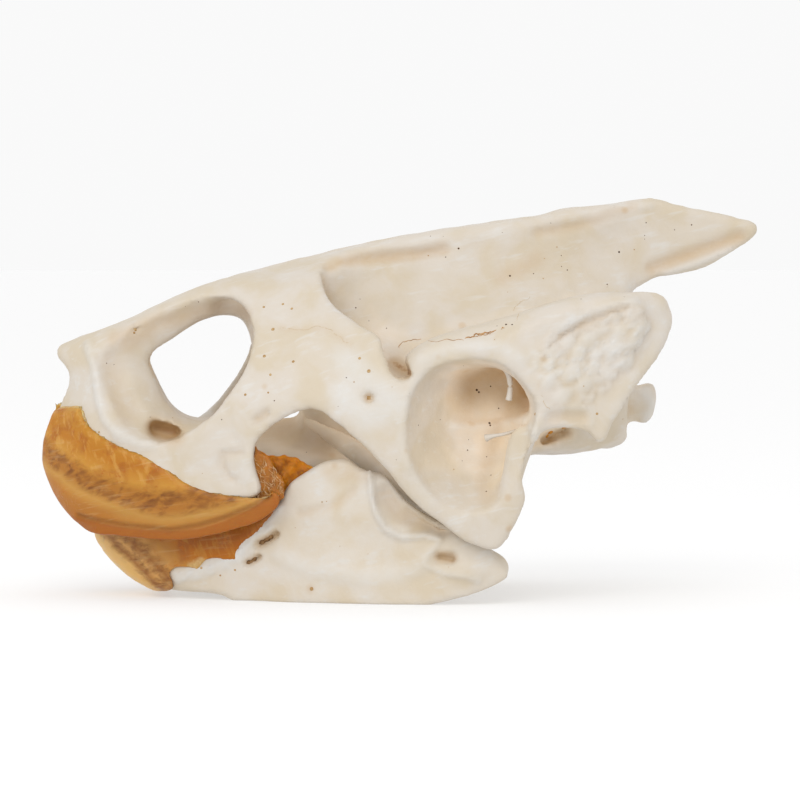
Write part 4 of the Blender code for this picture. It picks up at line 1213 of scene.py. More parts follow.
    @staticmethod
    def scaled_rings(outline: Outline, steps: Sequence[tuple[float, float, float, float]]) -> list[Ring]:
        """Makes rings of one outline at (w, scale, centre x, centre z) steps on the left side."""
        line = spline(outline, 2)
        middle = np.mean(line, axis=0)
        rings = []
        for w, scale, x, z in steps:
            moved = [(np.array(p) - middle) * scale + (x, z) for p in line]
            rings.append([(u, -w, v) for u, v in moved])
        return rings

    def outer_shell(self) -> Body:
        """Makes the snout, the roof, the cheeks and the outer bones of the ear, hollow behind the eyes."""
        head = Body.loft("head", smooth_rings(half_rings(self.envelope, 6), 2))
        head.meet(Body.prism("outer_bones", spline(self.outer_bones, 3)))
        hollow = Body.loft("hollow", smooth_rings(self.hollow_rings(), 2))
        hollow.cut(Body.prism("core", self.snout_core))
        head.cut(hollow, *self.socket_cutter().both())
        head.cut(Body.tunnel("nose", self.nose_tunnel), Body.ellipsoid("mouth", *self.mouth_vault))
        return head

    def inner_bones(self) -> list[Body]:
        """Makes the braincase, palate, crest, neck's knob and the solid part of both ears."""
        steps = [(w, s, *self.ear_block_centre) for w, s in self.ear_block_steps]
        block = Body.loft("ear_block", self.scaled_rings(self.ear_block, steps))
        foot = Body.loft("quadrate_foot", [
            ellipse((x, -w), (rx, ry), lambda u, v, z=z: (u, v, z), 24)
            for z, x, w, rx, ry in self.quadrate_foot
        ])
        ear = Body.fused("ear", [block, foot], self.coarse_voxel)
        palate = Body.loft("palate", smooth_rings(half_rings([
            (x, (0, top), (0.55 * w, 0.5 * (top + low) + 0.4), (w, low + 0.9), (w - 0.1, low + 0.1), (0, low))
            for x, w, top, low in self.palate
        ], 3)))
        base = [(*s, (0, s[-1][1] - 0.4)) for s in self.braincase]
        braincase = Body.loft("braincase", smooth_rings(half_rings(base, 3)))
        crest = Body.prism("crest", spline(self.crest, 2), (-self.crest_half, self.crest_half))
        neck = Body.prism("neck", spline(self.condyle, 2), (-self.condyle_half, self.condyle_half))
        ridge = Body.prism("ridge", self.roof_ridge, (-self.roof_ridge_half, self.roof_ridge_half))
        return [palate, braincase, crest, neck, ridge, *ear.both()]

    def build(self) -> Body:
        """Builds the whole skull as one body."""
        solid = Body.fused("solid", [self.outer_shell(), *self.inner_bones()], self.coarse_voxel)
        funnel = Body.loft("funnel", self.scaled_rings(self.ear_rim, self.ear_steps))
        (px, pw, pz), radii = self.ear_pocket
        solid.cut(*funnel.both(), *Body.ellipsoid("pocket", (px, -pw, pz), radii).both())
        solid.cut(Body.tunnel("brain", self.brain_hollow))
        near, far = self.floor_hole_w
        solid.cut(*Body.prism("floor_hole", spline(self.floor_hole, 2), (-far, -near)).both())
        (hx, hw, hz), radii = self.cheek_hole
        solid.cut(*Body.ellipsoid("cheek_hole", (hx, -hw, hz), radii, 16).both())
        near, far = self.temple_pocket_w
        solid.cut(*Body.prism("temple_pocket", self.temple_pocket, (-far, -near)).both())
        bars = []
        for stations in (self.ear_pillar, self.ear_spur, self.throat_edge):
            bars += Body.tube("bar", stations).both()
        skull = Body.fused("cranium", [solid, *bars], self.voxel)
        return skull.soften(2, 12).keep_largest()

    def strokes(self) -> list[Stroke]:
        """Lists the small forms of the outer surface, from the nose to the crest. Their tan is mostly painted shade in
        furrows, pits, pockets and the eye socket's floor hole.
        """
        tan, chalk, rough = Paint.TAN, Paint.CHALK, Paint.ROUGH
        return [
            Stroke(((-20.2, 16.4), (-19.6, 14.0), (-18.8, 12.6)), 1.3, -0.3, (2.5, 7.0), tan, 0.25),
            Stroke(((-21.7, 17.4), (-21.2, 16.0), (-21.0, 14.8), (-20.8, 13.4), (-20.4, 12.3), (-19.6, 11.4),
                    (-18.1, 10.7), (-17.2, 10.7)), 0.5, 0.28, (2.2, 7.6), chalk, 0.7),
            Stroke(((-19.9, 17.9), (-18.4, 18.5), (-16.9, 19.1)), 0.9, -0.1, (2.5, 5.5), tan, 0.5),
            Stroke(((-18.4, 18.55),), 0.4, -0.3, (2.0, 6.0), tan, 1.0),
            Stroke(((-12.1, 13.2), (-11.9, 11.5), (-11.3, 10.8)), 0.4, -0.1, (7.5, 11.0)),
            Stroke(((-10.2, 12.5), (-9.5, 13.0)), 0.42, -0.3, (7.5, 11.0), tan, 0.4),
            Stroke(((-11.2, 10.3), (-12.45, 10.15), (-12.45, 9.4), (-12.1, 8.6), (-11.6, 8.4)), 0.36, -0.2,
                   (7.0, 11.0), tan, 0.3),
            Stroke(((-11.0, 9.5), (-10.8, 8.8)), 0.9, 0.12, (7.0, 11.0), chalk, 0.5),
            Stroke(((-8.5, 18.7), (-7.1, 18.6), (-5.6, 18.8), (-4.8, 18.3), (-3.8, 17.6)), 0.3, -0.05,
                   (6.0, 12.0), tan, 0.3),
            Stroke(((-4.2, 16.6), (-2.4, 15.0), (-0.8, 13.6), (-2.8, 12.8), (-4.4, 14.3)), 1.5, 0.04,
                   (9.0, 14.0), chalk, 0.85),
            Stroke(((-5.0, 22.9), (-4.4, 23.25), (-3.0, 23.35), (-1.3, 23.5), (0.8, 23.7), (3.0, 24.1)), 0.7, -0.3,
                   (0.0, 3.8), tan, 0.7),
            Stroke(((1.2, 24.15), (2.1, 24.2), (3.1, 24.3)), 0.7, 0.1, (0.5, 3.0), chalk, 0.3),
            Stroke(((7.0, 22.1), (8.2, 22.6), (9.4, 23.3)), 0.9, 0.0, (0.5, 4.5), tan, 0.4),
            Stroke(((9.5, 25.2), (12.5, 25.7), (15.0, 26.6), (16.3, 27.0)), 0.55, -0.16, (0.0, 3.0), tan, 0.45),
            Stroke(((13.5, 26.2), (15.7, 26.75), (17.5, 27.1)), 0.4, 0.12, (0.0, 3.0), chalk, 0.4),
            Stroke(((17.6, 22.7), (19.2, 23.3), (21.2, 24.0), (23.8, 24.9)), 0.75, -0.26, (0.0, 3.0), tan, 0.75),
            Stroke(((18.6, 22.35), (20.6, 23.1), (23.2, 24.2)), 0.5, 0.12, (0.0, 3.0), chalk, 0.8),
            Stroke(((0.9, 15.8), (-0.1, 13.9), (-0.5, 12.4), (-0.5, 10.9), (0.2, 9.1), (1.6, 7.1)), 0.6, 0.1,
                   (10.0, 14.0), chalk, 0.3),
            Stroke(((1.0, 16.6), (2.6, 17.4), (4.6, 17.6), (6.2, 17.5), (7.6, 16.6)), 0.7, 0.1,
                   (10.0, 15.0), chalk, 0.6),
            Stroke(((9.5, 17.6), (10.6, 18.35), (11.4, 18.85), (12.5, 19.4), (14.6, 20.1)), 0.38, -0.3,
                   (8.0, 15.0), tan, 0.55),
            Stroke(((10.4, 18.75), (11.5, 19.4), (13.0, 20.0), (15.4, 20.6)), 0.4, 0.14, (8.0, 15.0), chalk, 0.5),
            Stroke(((11.4, 18.4), (12.9, 18.9), (14.2, 19.3), (15.2, 19.8)), 0.35, -0.2, (8.0, 15.0), tan, 0.3),
            Stroke(((9.6, 12.7), (10.8, 12.75), (11.7, 12.75)), 0.75, -0.34, (8.0, 15.0), tan, 0.3),
            Stroke(((-0.6, 16.2), (0.2, 15.7)), 0.8, 0.0, (4.0, 12.0), tan, 1.0, -2.0),
            Stroke(((-2.62, 14.05),), 0.5, -0.2, (8.0, 14.0), tan, 0.5),
            Stroke(((9.3, 13.5), (10.8, 13.5), (12.2, 13.45), (12.3, 12.4)), 0.3, 0.1, (8.0, 15.0), chalk, 0.5),
            Stroke(((4.6, 14.6), (6.2, 15.2), (7.4, 14.2)), 2.5, 0.0, (4.0, 12.0), tan, 0.6, -2.0),
            Stroke(((7.6, 15.8), (8.3, 14.4)), 1.0, 0.0, (4.0, 11.6), tan, 0.95, -2.0),
            Stroke(((-17.0, 11.75), (-15.7, 11.4)), 1.15, 0.0, (0.0, 9.0), tan, 0.95, -2.0),
            Stroke(((-19.0, 17.6), (-16.6, 19.0), (-13.0, 19.9), (-11.0, 19.4)), 1.1, 0.0, (2.0, 6.5), tan, 0.5, -2.0),
            Stroke(((-9.6, 11.4), (-7.6, 11.5), (-5.4, 10.6)), 1.6, 0.0, (0.0, 6.8), tan, 0.5, -2.0),
            Stroke(((3.3, 12.0), (4.6, 11.9), (6.4, 12.0), (8.2, 12.5)), 0.6, 0.3, (7.0, 12.0), chalk, 0.8, -2.0),
            Stroke(((9.3, 16.2), (11.4, 16.4), (13.4, 17.0), (15.2, 18.2)), 2.0, 0.0, (8.0, 15.0), rough, 1.0),
            Stroke(((10.0, 18.6), (12.5, 19.2), (14.8, 19.6)), 1.1, 0.0, (8.0, 15.0), rough, 0.6),
            Stroke(((16.9, 19.9), (17.2, 18.4), (16.4, 16.8), (15.0, 15.0), (13.9, 13.0)), 0.9, 0.14,
                   (8.0, 14.0), chalk, 0.25),
            Stroke(((8.2, 13.4), (8.3, 12.3), (8.55, 11.3)), 0.5, 0.2, (9.0, 15.0), chalk, 0.8),
            Stroke(((6.2, 11.9), (5.2, 8.6), (5.3, 7.4)), 0.9, -0.1, (7.0, 13.0), tan, 0.35),
            Stroke(((16.9, 14.2), (17.6, 13.2), (17.2, 12.2)), 0.6, 0.1, (0.0, 2.5), chalk, 0.8),
            Stroke(((15.2, 13.3), (15.8, 12.9)), 0.9, -0.2, (0.0, 2.5), tan, 0.6),
            Stroke(((9.8, 10.95), (11.4, 11.4)), 0.5, -0.6, (3.0, 7.0), tan, 1.0),
        ]

    def dress(self, body: Body) -> bpy.types.Material:
        """Works the small forms into the skull and gives it its bone."""
        work = Sculptor(body)
        work.roughen(3.2, 0.09)
        work.roughen(1.1, 0.045, 7.0)
        work.press(self.strokes())
        work.pebble(((9.3, 13.9), (8.9, 17.3), (10.6, 18.3), (12.6, 19.0), (15.6, 20.1), (16.4, 18.9), (15.2, 17.0),
                     (13.6, 14.8), (12.0, 13.9)), (8.5, 14.5), (0.2, 0.7), 1200, 0.26)
        work.finish()
        work.shade_hollows()
        return self.finish.material()


@dataclass
class Jaw:
    """The lower jaw, one piece of bone.

    Attributes:
        voxel: The size of its skin's faces.
        wall: How thick its branches are.
        inner_start: Where the space between the branches begins.
        inner_round: How much that space narrows towards its front.
        outline: Its side outline.
        envelope: x, then (w, z) at the top, two middle levels and the lower edge.
        hollow: The centre and half sizes of the hollow behind the muscle's knob.
        chin: The centre and half sizes of the solid chin.
        joint: The centre and half sizes of the knob under the skull's jaw joint.
        finish: Its bone.
    """

    voxel: float = 0.2
    wall: float = 1.7
    inner_start: float = -15.0
    inner_round: float = 2.6
    outline: tuple = (
        (-20.2, 4.4), (-19.8, 3.2), (-18.2, 1.7), (-17.0, 0.9), (-16.0, 0.5), (-14.0, 0.45), (-12.3, 0.3),
        (-11.8, -0.05), (-10.2, -0.1), (-6.2, -0.1), (-1.6, -0.15), (0.6, -0.15), (2.3, 0.1), (4.6, 0.7),
        (6.1, 1.3), (7.0, 1.9), (6.8, 2.3), (6.1, 2.9), (5.4, 4.0), (3.8, 4.7), (3.0, 5.3),
        (1.5, 6.0), (0.0, 7.0), (-0.8, 8.0), (-1.5, 8.8), (-2.4, 8.9), (-3.3, 9.3), (-3.9, 9.8),
        (-4.6, 9.8), (-5.6, 9.6), (-6.7, 8.9), (-7.8, 8.2), (-8.4, 7.2), (-9.2, 6.0), (-10.4, 5.4),
        (-13.0, 5.0), (-17.0, 4.9), (-19.6, 5.0),
    )
    envelope: tuple = (
        (-21.1, (0.3, 7), (0.3, 4.6), (0.2, 4.3), (0, 4.2)),
        (-20.8, (1.3, 7), (1.2, 4.4), (0.7, 3.7), (0, 3.5)),
        (-20.0, (2.5, 7), (2.3, 4.2), (1.5, 2.9), (0, 2.5)),
        (-19.0, (3.4, 7), (3.2, 4.0), (2.3, 2.0), (0, 1.5)),
        (-18.0, (4.1, 7), (3.9, 3.9), (3.0, 1.4), (0, 0.8)),
        (-17.0, (4.6, 7), (4.5, 3.8), (3.6, 1.0), (0, 0.4)),
        (-16.0, (5.1, 7), (5.0, 3.7), (4.1, 0.8), (0, 0.2)),
        (-15.0, (5.5, 7), (5.4, 3.7), (4.7, 0.4), (0, -0.6)),
        (-13.0, (6.2, 8), (6.2, 4.0), (5.7, 0.0), (4.5, -2)),
        (-11.0, (7.0, 9), (7.0, 4.0), (6.6, 0.0), (6.4, -2)),
        (-9.0, (7.9, 10), (7.9, 5.0), (7.5, 1.0), (7.3, -2)),
        (-7.0, (8.7, 11), (8.8, 5.0), (8.4, 1.0), (8.2, -2)),
        (-5.0, (9.3, 11), (9.5, 5.0), (9.2, 1.0), (9.0, -2)),
        (-2.0, (10.0, 11), (10.3, 5.0), (10.1, 1.0), (9.9, -2)),
        (1.0, (10.5, 10), (10.8, 4.0), (10.6, 1.0), (10.5, -2)),
        (4.0, (10.7, 9), (11.0, 3.0), (10.9, 1.0), (10.8, -2)),
        (8.0, (10.7, 9), (11.0, 3.0), (10.9, 1.0), (10.8, -2)),
    )
    hollow: tuple = ((0.2, 12.0, 6.5), (2.3, 1.5, 2.2))
    chin: tuple = ((-16.9, 0, 3.4), (3.4, 4.6, 1.9))
    joint: tuple = ((4.2, 9.4, 2.4), (2.9, 2.0, 1.5))
    finish: BoneFinish = BoneFinish(name="jaw_bone", ivory=srgb(208, 199, 186), cream=srgb(202, 187, 162))

    def rings(self, inset: float = 0.0) -> list[np.ndarray]:
        """Makes the rings of the jaw's outer surface, or of the space between its branches.

        Args:
            inset: How thick the branches are, or 0 for the outer surface.

        Returns:
            The rings, from the chin to the back.
        """
        rings = []
        for x, *half in self.envelope:
            behind = x - self.inner_start
            if inset and behind < 0:
                continue
            narrow = inset + self.inner_round / (1.0 + behind) if inset else 0.0
            line = spline(half, 5, closed=False)
            if inset:
                line = [(max(w - narrow, 0.3), z) for w, z in line]
                line[-1] = (line[-1][0], -2.5)
            left = [(x, -w, z) for w, z in line]
            least = 0.02 if not inset and half[-1][0] == 0 else 0.0
            rings.append(left + [(x, max(w, least), z) for w, z in reversed(line)])
        return smooth_rings(rings, 2)

    def build(self) -> Body:
        """Builds the jaw as one body."""
        branches = Body.loft("jaw_skin", self.rings())
        front = branches.copied("jaw_front")
        branches.cut(Body.loft("between", self.rings(self.wall)))
        branches.meet(Body.prism("outline", spline(self.outline, 2)))
        front.meet(Body.prism("outline", spline(self.outline, 2)), Body.ellipsoid("chin", *self.chin))
        (x, w, z), radii = self.joint
        joints = Body.ellipsoid("joint", (x, -w, z), radii).both()
        jaw = Body.fused("jaw", [branches, front, *joints], 0.3)
        (x, w, z), radii = self.hollow
        jaw.cut(*Body.ellipsoid("hollow", (x, -w, z), radii).both())
        jaw = Body.fused("jaw", [jaw], self.voxel).soften(2, 8).keep_largest()
        return jaw.cut(Body.prism("floor", ((-40, -12), (40, -12), (40, 0), (-40, 0))))

    def strokes(self) -> list[Stroke]:
        """Lists the small forms of the jaw's outer side, from front to back. Their tan is painted shade in furrows,
        pits and slits.
        """
        tan, chalk = Paint.TAN, Paint.CHALK
        return [
            Stroke(((-7.0, 4.6), (-4.0, 4.2), (-1.4, 3.4)), 2.4, -0.3, (6.0, 12.0)),
            Stroke(((-8.6, 3.2), (-6.4, 2.2), (-3.4, 1.8), (-0.6, 2.0), (1.0, 2.6)), 0.9, 0.1, (6.0, 12.0), chalk, 0.45),
            Stroke(((-1.3, 7.4), (-0.5, 6.2), (0.9, 5.7), (2.4, 5.3)), 1.1, -0.55, (8.0, 12.0), tan, 0.4),
            Stroke(((-2.5, 8.8), (-2.3, 7.4), (-2.1, 6.3), (-1.4, 5.1), (-0.4, 4.6), (1.3, 4.75), (2.2, 4.5)),
                   0.36, 0.34, (8.0, 12.0), chalk, 0.6),
            Stroke(((2.1, 4.2), (1.2, 3.2), (1.2, 2.7), (2.5, 2.15), (4.2, 1.95), (4.8, 1.6)), 0.36, 0.14,
                   (8.0, 12.5), chalk, 0.5),
            Stroke(((2.2, 3.25), (3.0, 3.25)), 0.5, -0.8, (8.0, 12.5), tan, 0.9),
            Stroke(((-3.6, 7.7), (-4.9, 6.7), (-7.2, 6.1)), 0.5, -0.12, (6.0, 12.0), tan, 0.3),
            Stroke(((-5.2, 9.0), (-4.2, 8.9), (-3.0, 8.7)), 0.9, 0.05, (6.0, 12.0), tan, 0.3),
            Stroke(((-10.0, 3.95), (-9.5, 4.2), (-8.9, 4.65)), 0.4, -0.7, (5.0, 10.0), tan, 1.0),
            Stroke(((-10.8, 2.6), (-10.4, 2.75), (-10.05, 3.05)), 0.34, -0.6, (5.0, 10.0), tan, 1.0),
            Stroke(((-6.5, 0.95),), 0.45, 0.0, (6.0, 12.0), tan, 0.8),
            Stroke(((-8.9, 6.3), (-9.5, 5.2), (-10.7, 4.2), (-11.6, 3.0), (-13.6, 2.1), (-15.4, 1.6)), 0.75, 0.2,
                   (4.0, 10.0), chalk, 0.9),
            Stroke(((-8.9, 6.3), (-9.5, 5.2), (-10.7, 4.2), (-11.6, 3.0), (-13.6, 2.1), (-15.4, 1.6)), 0.9, 0.0,
                   (4.0, 10.0), Paint.ROUGH, 1.0),
        ]

    def dress(self, body: Body) -> bpy.types.Material:
        """Works the small forms into the jaw and gives it its bone."""
        work = Sculptor(body)
        work.roughen(2.8, 0.07, 3.0)
        work.press(self.strokes())
        work.finish()
        work.shade_hollows(5.0)
        return self.finish.material()


@dataclass
class Sheath:
    """A horny sheath over the front of a jaw.

    Attributes:
        name: The piece's name.
        outline: Its side outline.
        proud: How far it stands proud of the bone.
        wall: How thick it is.
        voxel: The size of its skin's faces.
        forms: The small forms of its surface.
        finish: Its horn.
    """

    name: str
    outline: tuple
    forms: tuple[Stroke, ...]
    finish: HornFinish
    proud: float = 0.25
    wall: float = 0.8
    voxel: float = 0.17

    def build(self, rings: Sequence[Ring]) -> Body:
        """Builds the sheath over the bone's rings."""
        skin = Body.loft(self.name, rings).swollen(self.proud).walled(self.wall)
        skin.meet(Body.prism("outline", spline(self.outline, 3)))
        return Body.fused(self.name, [skin], self.voxel).soften(2, 3).keep_largest()

    def dress(self, body: Body) -> bpy.types.Material:
        """Works the small forms into the horn and gives it its finish."""
        work = Sculptor(body)
        work.roughen(1.6, 0.07, 11.0)
        work.press(self.forms)
        work.finish()
        return self.finish.material()


@dataclass
class EarRods:
    """The thin rod of bone that hangs in each ear, and the small one that lies across below it.

    Attributes:
        hanging: The hanging rod's (x, w, z) and radius.
        lying: The lower rod's (x, w, z) and radius.
        finish: Its bone.
    """

    hanging: tuple = (((6.1, 11.6, 16.5), 0.28), ((6.5, 11.4, 16.15), 0.25), ((6.85, 11.3, 15.6), 0.22),
                      ((6.95, 11.3, 14.7), 0.19), ((6.85, 11.3, 13.85), 0.24))
    lying: tuple = (((5.3, 11.0, 11.3), 0.3), ((5.8, 11.2, 11.45), 0.16), ((6.6, 11.4, 11.6), 0.12),
                    ((7.6, 11.6, 11.9), 0.14))
    finish: BoneFinish = BoneFinish(name="rod_bone")

    def build(self, side: int) -> Body:
        """Builds one ear's rods.

        Args:
            side: 1 for the left ear, -1 for the right one.

        Returns:
            The rods.
        """
        rods = [Body.tube("rod", stations, 10) for stations in (self.hanging, self.lying)]
        made = Body.fused("ear_rods", rods, 0.06)
        if side < 0:
            made.obj.data.transform(Matrix.Diagonal((1, -1, 1, 1)))
            made.obj.data.flip_normals()
        return made


class Side(Enum):
    """The two sides of the skull, with the sign of y."""

    LEFT = -1
    RIGHT = 1


class Plan:
    """A Geometry Nodes tree with named inputs that ends in real geometry with one material."""

    def __init__(self, name: str, inputs: dict[str, str]) -> None:
        """Starts a tree with these inputs, by name and kind."""
        self.tree = bpy.data.node_groups.new(name, "GeometryNodeTree")
        for label, kind in inputs.items():
            self.tree.interface.new_socket(label, in_out="INPUT", socket_type="NodeSocket" + kind)
        self.tree.interface.new_socket("Result", in_out="OUTPUT", socket_type="NodeSocketGeometry")
        self.given = self.tree.nodes.new("NodeGroupInput")

    def node(self, kind: str, settings: dict | None = None, sockets: dict | None = None) -> bpy.types.Node:
        """Adds one node.

        Args:
            kind: The node's type.
            settings: Its properties.
            sockets: Its inputs' values, or the nodes they are linked to, or (node, output) pairs.

        Returns:
            The node.
        """
        made = self.tree.nodes.new(kind)
        for key, value in (settings or {}).items():
            setattr(made, key, value)
        for key, value in (sockets or {}).items():
            if isinstance(value, bpy.types.Node):
                value = (value, 0)
            if isinstance(value, tuple) and isinstance(value[0], bpy.types.Node):
                self.tree.links.new(value[0].outputs[value[1]], made.inputs[key])
            else:
                made.inputs[key].default_value = value
        return made

    def finish(self, last: bpy.types.Node) -> bpy.types.NodeTree:
        """Ends the tree after its last shaping node."""
        real = self.node("GeometryNodeRealizeInstances", sockets={0: last})
        paint = self.node("GeometryNodeSetMaterial", sockets={"Geometry": real, "Material": (self.given, "Material")})
        self.node("NodeGroupOutput", sockets={0: paint})
        return self.tree


class Surface:
    """The outside of a finished body, to lay other things on."""

    def __init__(self, body: Body) -> None:
        """Takes a copy of the body's faces."""
        faces = [tuple(f.vertices) for f in body.obj.data.polygons]
        self.faces = BVHTree.FromPolygons([Vector(p) for p in body.places()], faces)

    def under(self, x: float, z: float, side: Side) -> tuple[Vector | None, Vector | None]:
        """Gives the place and the normal that a line from the side first meets."""
        return self.faces.ray_cast(Vector((x, 30 * side.value, z)), Vector((0, -side.value, 0)))[:2]


@dataclass
class Threads:
    """Fine seams, cracks and frayed fibres, each a thin cord along a line.

    Attributes:
        name: The piece's name.
        finish: Their colour.
        wander: How far they stray from side to side.
        seed: What fixes the straying.
    """

    name: str
    finish: PlainFinish
    wander: float = 0.12
    seed: int = 4

    def tree(self) -> bpy.types.NodeTree:
        """Builds the node tree that turns lines into thin cords."""
        plan = Plan("thread_tree", {"Lines": "Geometry", "Thickness": "Float", "Material": "Material"})
        own = plan.node("GeometryNodeInputNamedAttribute", {"data_type": "FLOAT"}, {"Name": "thickness"})
        size = plan.node("ShaderNodeMath", {"operation": "MULTIPLY"}, {
            0: (own, "Attribute"), 1: (plan.given, "Thickness")})
        lines = plan.node("GeometryNodeMeshToCurve", sockets={"Mesh": (plan.given, "Lines")})
        radius = plan.node("GeometryNodeSetCurveRadius", sockets={"Curve": lines, "Radius": size})
        ring = plan.node("GeometryNodeCurvePrimitiveCircle", sockets={"Resolution": 6, "Radius": 1.0})
        cord = plan.node("GeometryNodeCurveToMesh", sockets={
            "Curve": radius, "Profile Curve": ring, "Fill Caps": True})
        if "Scale" in cord.inputs:
            plan.tree.links.new(size.outputs[0], cord.inputs["Scale"])
        return plan.finish(cord)

    def build(self, lines: Sequence[Sequence[tuple[Vector, float]]]) -> Body:
        """Makes the cords.

        Args:
            lines: For each cord, its places and its half thickness at each of them.

        Returns:
            All cords as one body, in millimetres.
        """
        bm = bmesh.new()
        layer = bm.verts.layers.float.new("thickness")
        for line in lines:
            last = None
            for place, thick in line:
                vert = bm.verts.new(place)
                vert[layer] = thick
                if last is not None:
                    bm.edges.new((last, vert))
                last = vert
        mesh = bpy.data.meshes.new(self.name)
        bm.to_mesh(mesh)
        bm.free()
        values = {"Thickness": 1.0, "Material": self.finish.material()}
        return Body(grown(linked(self.name, mesh), self.tree(), values))

    def laid(self, skull: Surface, lines: Sequence[tuple[Outline, float]]) -> Body:
        """Lays cords on both sides of the skull.

        Args:
            skull: What they lie on.
            lines: Each cord's (x, z) points and its half thickness.

        Returns:
            The cords.
        """
        made = []
        for n, (path, thick) in enumerate(lines):
            for side in Side:
                cord = []
                points = spline(path, 10, closed=False)
                for i, (x, z) in enumerate(points):
                    drift = noise.noise_vector(Vector((0.33 * i, 7.1 * n + side.value, self.seed)))
                    hit, _ = skull.under(x + self.wander * drift.x, z + self.wander * drift.y, side)
                    if hit is None or (cord and (cord[-1][0] - hit).length > 1.0):
                        made.append(cord)
                        cord = []
                    if hit is not None:
                        end = min(1.0, 0.25 + 0.25 * min(i, len(points) - 1 - i))
                        cord.append((hit, thick * end * (0.8 + 0.7 * abs(drift.z))))
                made.append(cord)
        return self.build([cord for cord in made if len(cord) > 2])


def grown(obj: bpy.types.Object, tree: bpy.types.NodeTree, values: dict) -> bpy.types.Object:
    """Runs a node tree on an object and keeps its result as a plain mesh.

    Args:
        obj: The object that the tree starts from.
        tree: The node tree.
        values: The tree's inputs, by name.

    Returns:
        The object, with the result as its mesh and no modifier.
    """
    step = obj.modifiers.new("grow", "NODES")
    step.node_group = tree
    for item in tree.interface.items_tree:
        if item.in_out == "INPUT" and item.name in values:
            step[item.identifier] = values[item.name]
    mesh = evaluated(obj)
    obj.modifiers.clear()
    old = obj.data
    obj.data = mesh
    bpy.data.meshes.remove(old)
    return obj


@dataclass
class Specks:
    """Small dark specks and pores in the bone, each a flat lens that lies in the surface.

    Attributes:
        name: The piece's name.
        marks: Each speck's (x, z) on the left side and its radius.
        finish: Its colour.
        scattered: How many more are scattered over the skull.
        size: The scattered specks' smallest and largest radius.
        seed: What fixes them.
    """

    name: str
    marks: tuple[tuple[float, float, float], ...]
    finish: PlainFinish
    scattered: int = 0
    size: Point = (0.02, 0.05)
    seed: int = 3

    def tree(self) -> bpy.types.NodeTree:
        """Builds the node tree that lays a lens on each point."""
        plan = Plan("speck_tree", {"Points": "Geometry", "Flatness": "Float", "Material": "Material"})
        facing = plan.node("GeometryNodeInputNamedAttribute", {"data_type": "FLOAT_VECTOR"}, {"Name": "facing"})
        wide = plan.node("GeometryNodeInputNamedAttribute", {"data_type": "FLOAT"}, {"Name": "wide"})
        turn = plan.node("FunctionNodeAlignRotationToVector", {"axis": "Z"}, {"Vector": (facing, "Attribute")})
        high = plan.node("ShaderNodeMath", {"operation": "MULTIPLY"}, {
            0: (wide, "Attribute"), 1: (plan.given, "Flatness")})
        scale = plan.node("ShaderNodeCombineXYZ", sockets={0: (wide, "Attribute"), 1: (wide, "Attribute"), 2: high})
        lens = plan.node("GeometryNodeMeshIcoSphere", sockets={"Radius": 1.0, "Subdivisions": 2})
        points = plan.node("GeometryNodeMeshToPoints", sockets={"Mesh": (plan.given, "Points")})
        laid = plan.node("GeometryNodeInstanceOnPoints", sockets={
            "Points": points, "Instance": (lens, "Mesh"), "Rotation": turn, "Scale": scale})
        return plan.finish(laid)

    def build(self, skull: "Surface") -> Body:
        """Lays the specks on both sides of the skull."""
        rng = np.random.default_rng(self.seed)
        bm = bmesh.new()
        facing = bm.verts.layers.float_vector.new("facing")
        wide = bm.verts.layers.float.new("wide")
        marks = [(x, z, r, side) for x, z, r in self.marks for side in Side]
        for _ in range(self.scattered):
            x = rng.uniform(-22, 22)
            z = rng.uniform(1, 27)
            marks.append((x, z, rng.uniform(*self.size), rng.choice(list(Side))))
        for x, z, r, side in marks:
            hit, normal = skull.under(x, z, side)
            if hit is None or abs(normal.y) < 0.25:
                continue
            vert = bm.verts.new(hit)
            vert[facing] = normal
            vert[wide] = r
        mesh = bpy.data.meshes.new(self.name)
        bm.to_mesh(mesh)
        bm.free()
        values = {"Flatness": 0.3, "Material": self.finish.material()}
        return Body(grown(linked(self.name, mesh), self.tree(), values))


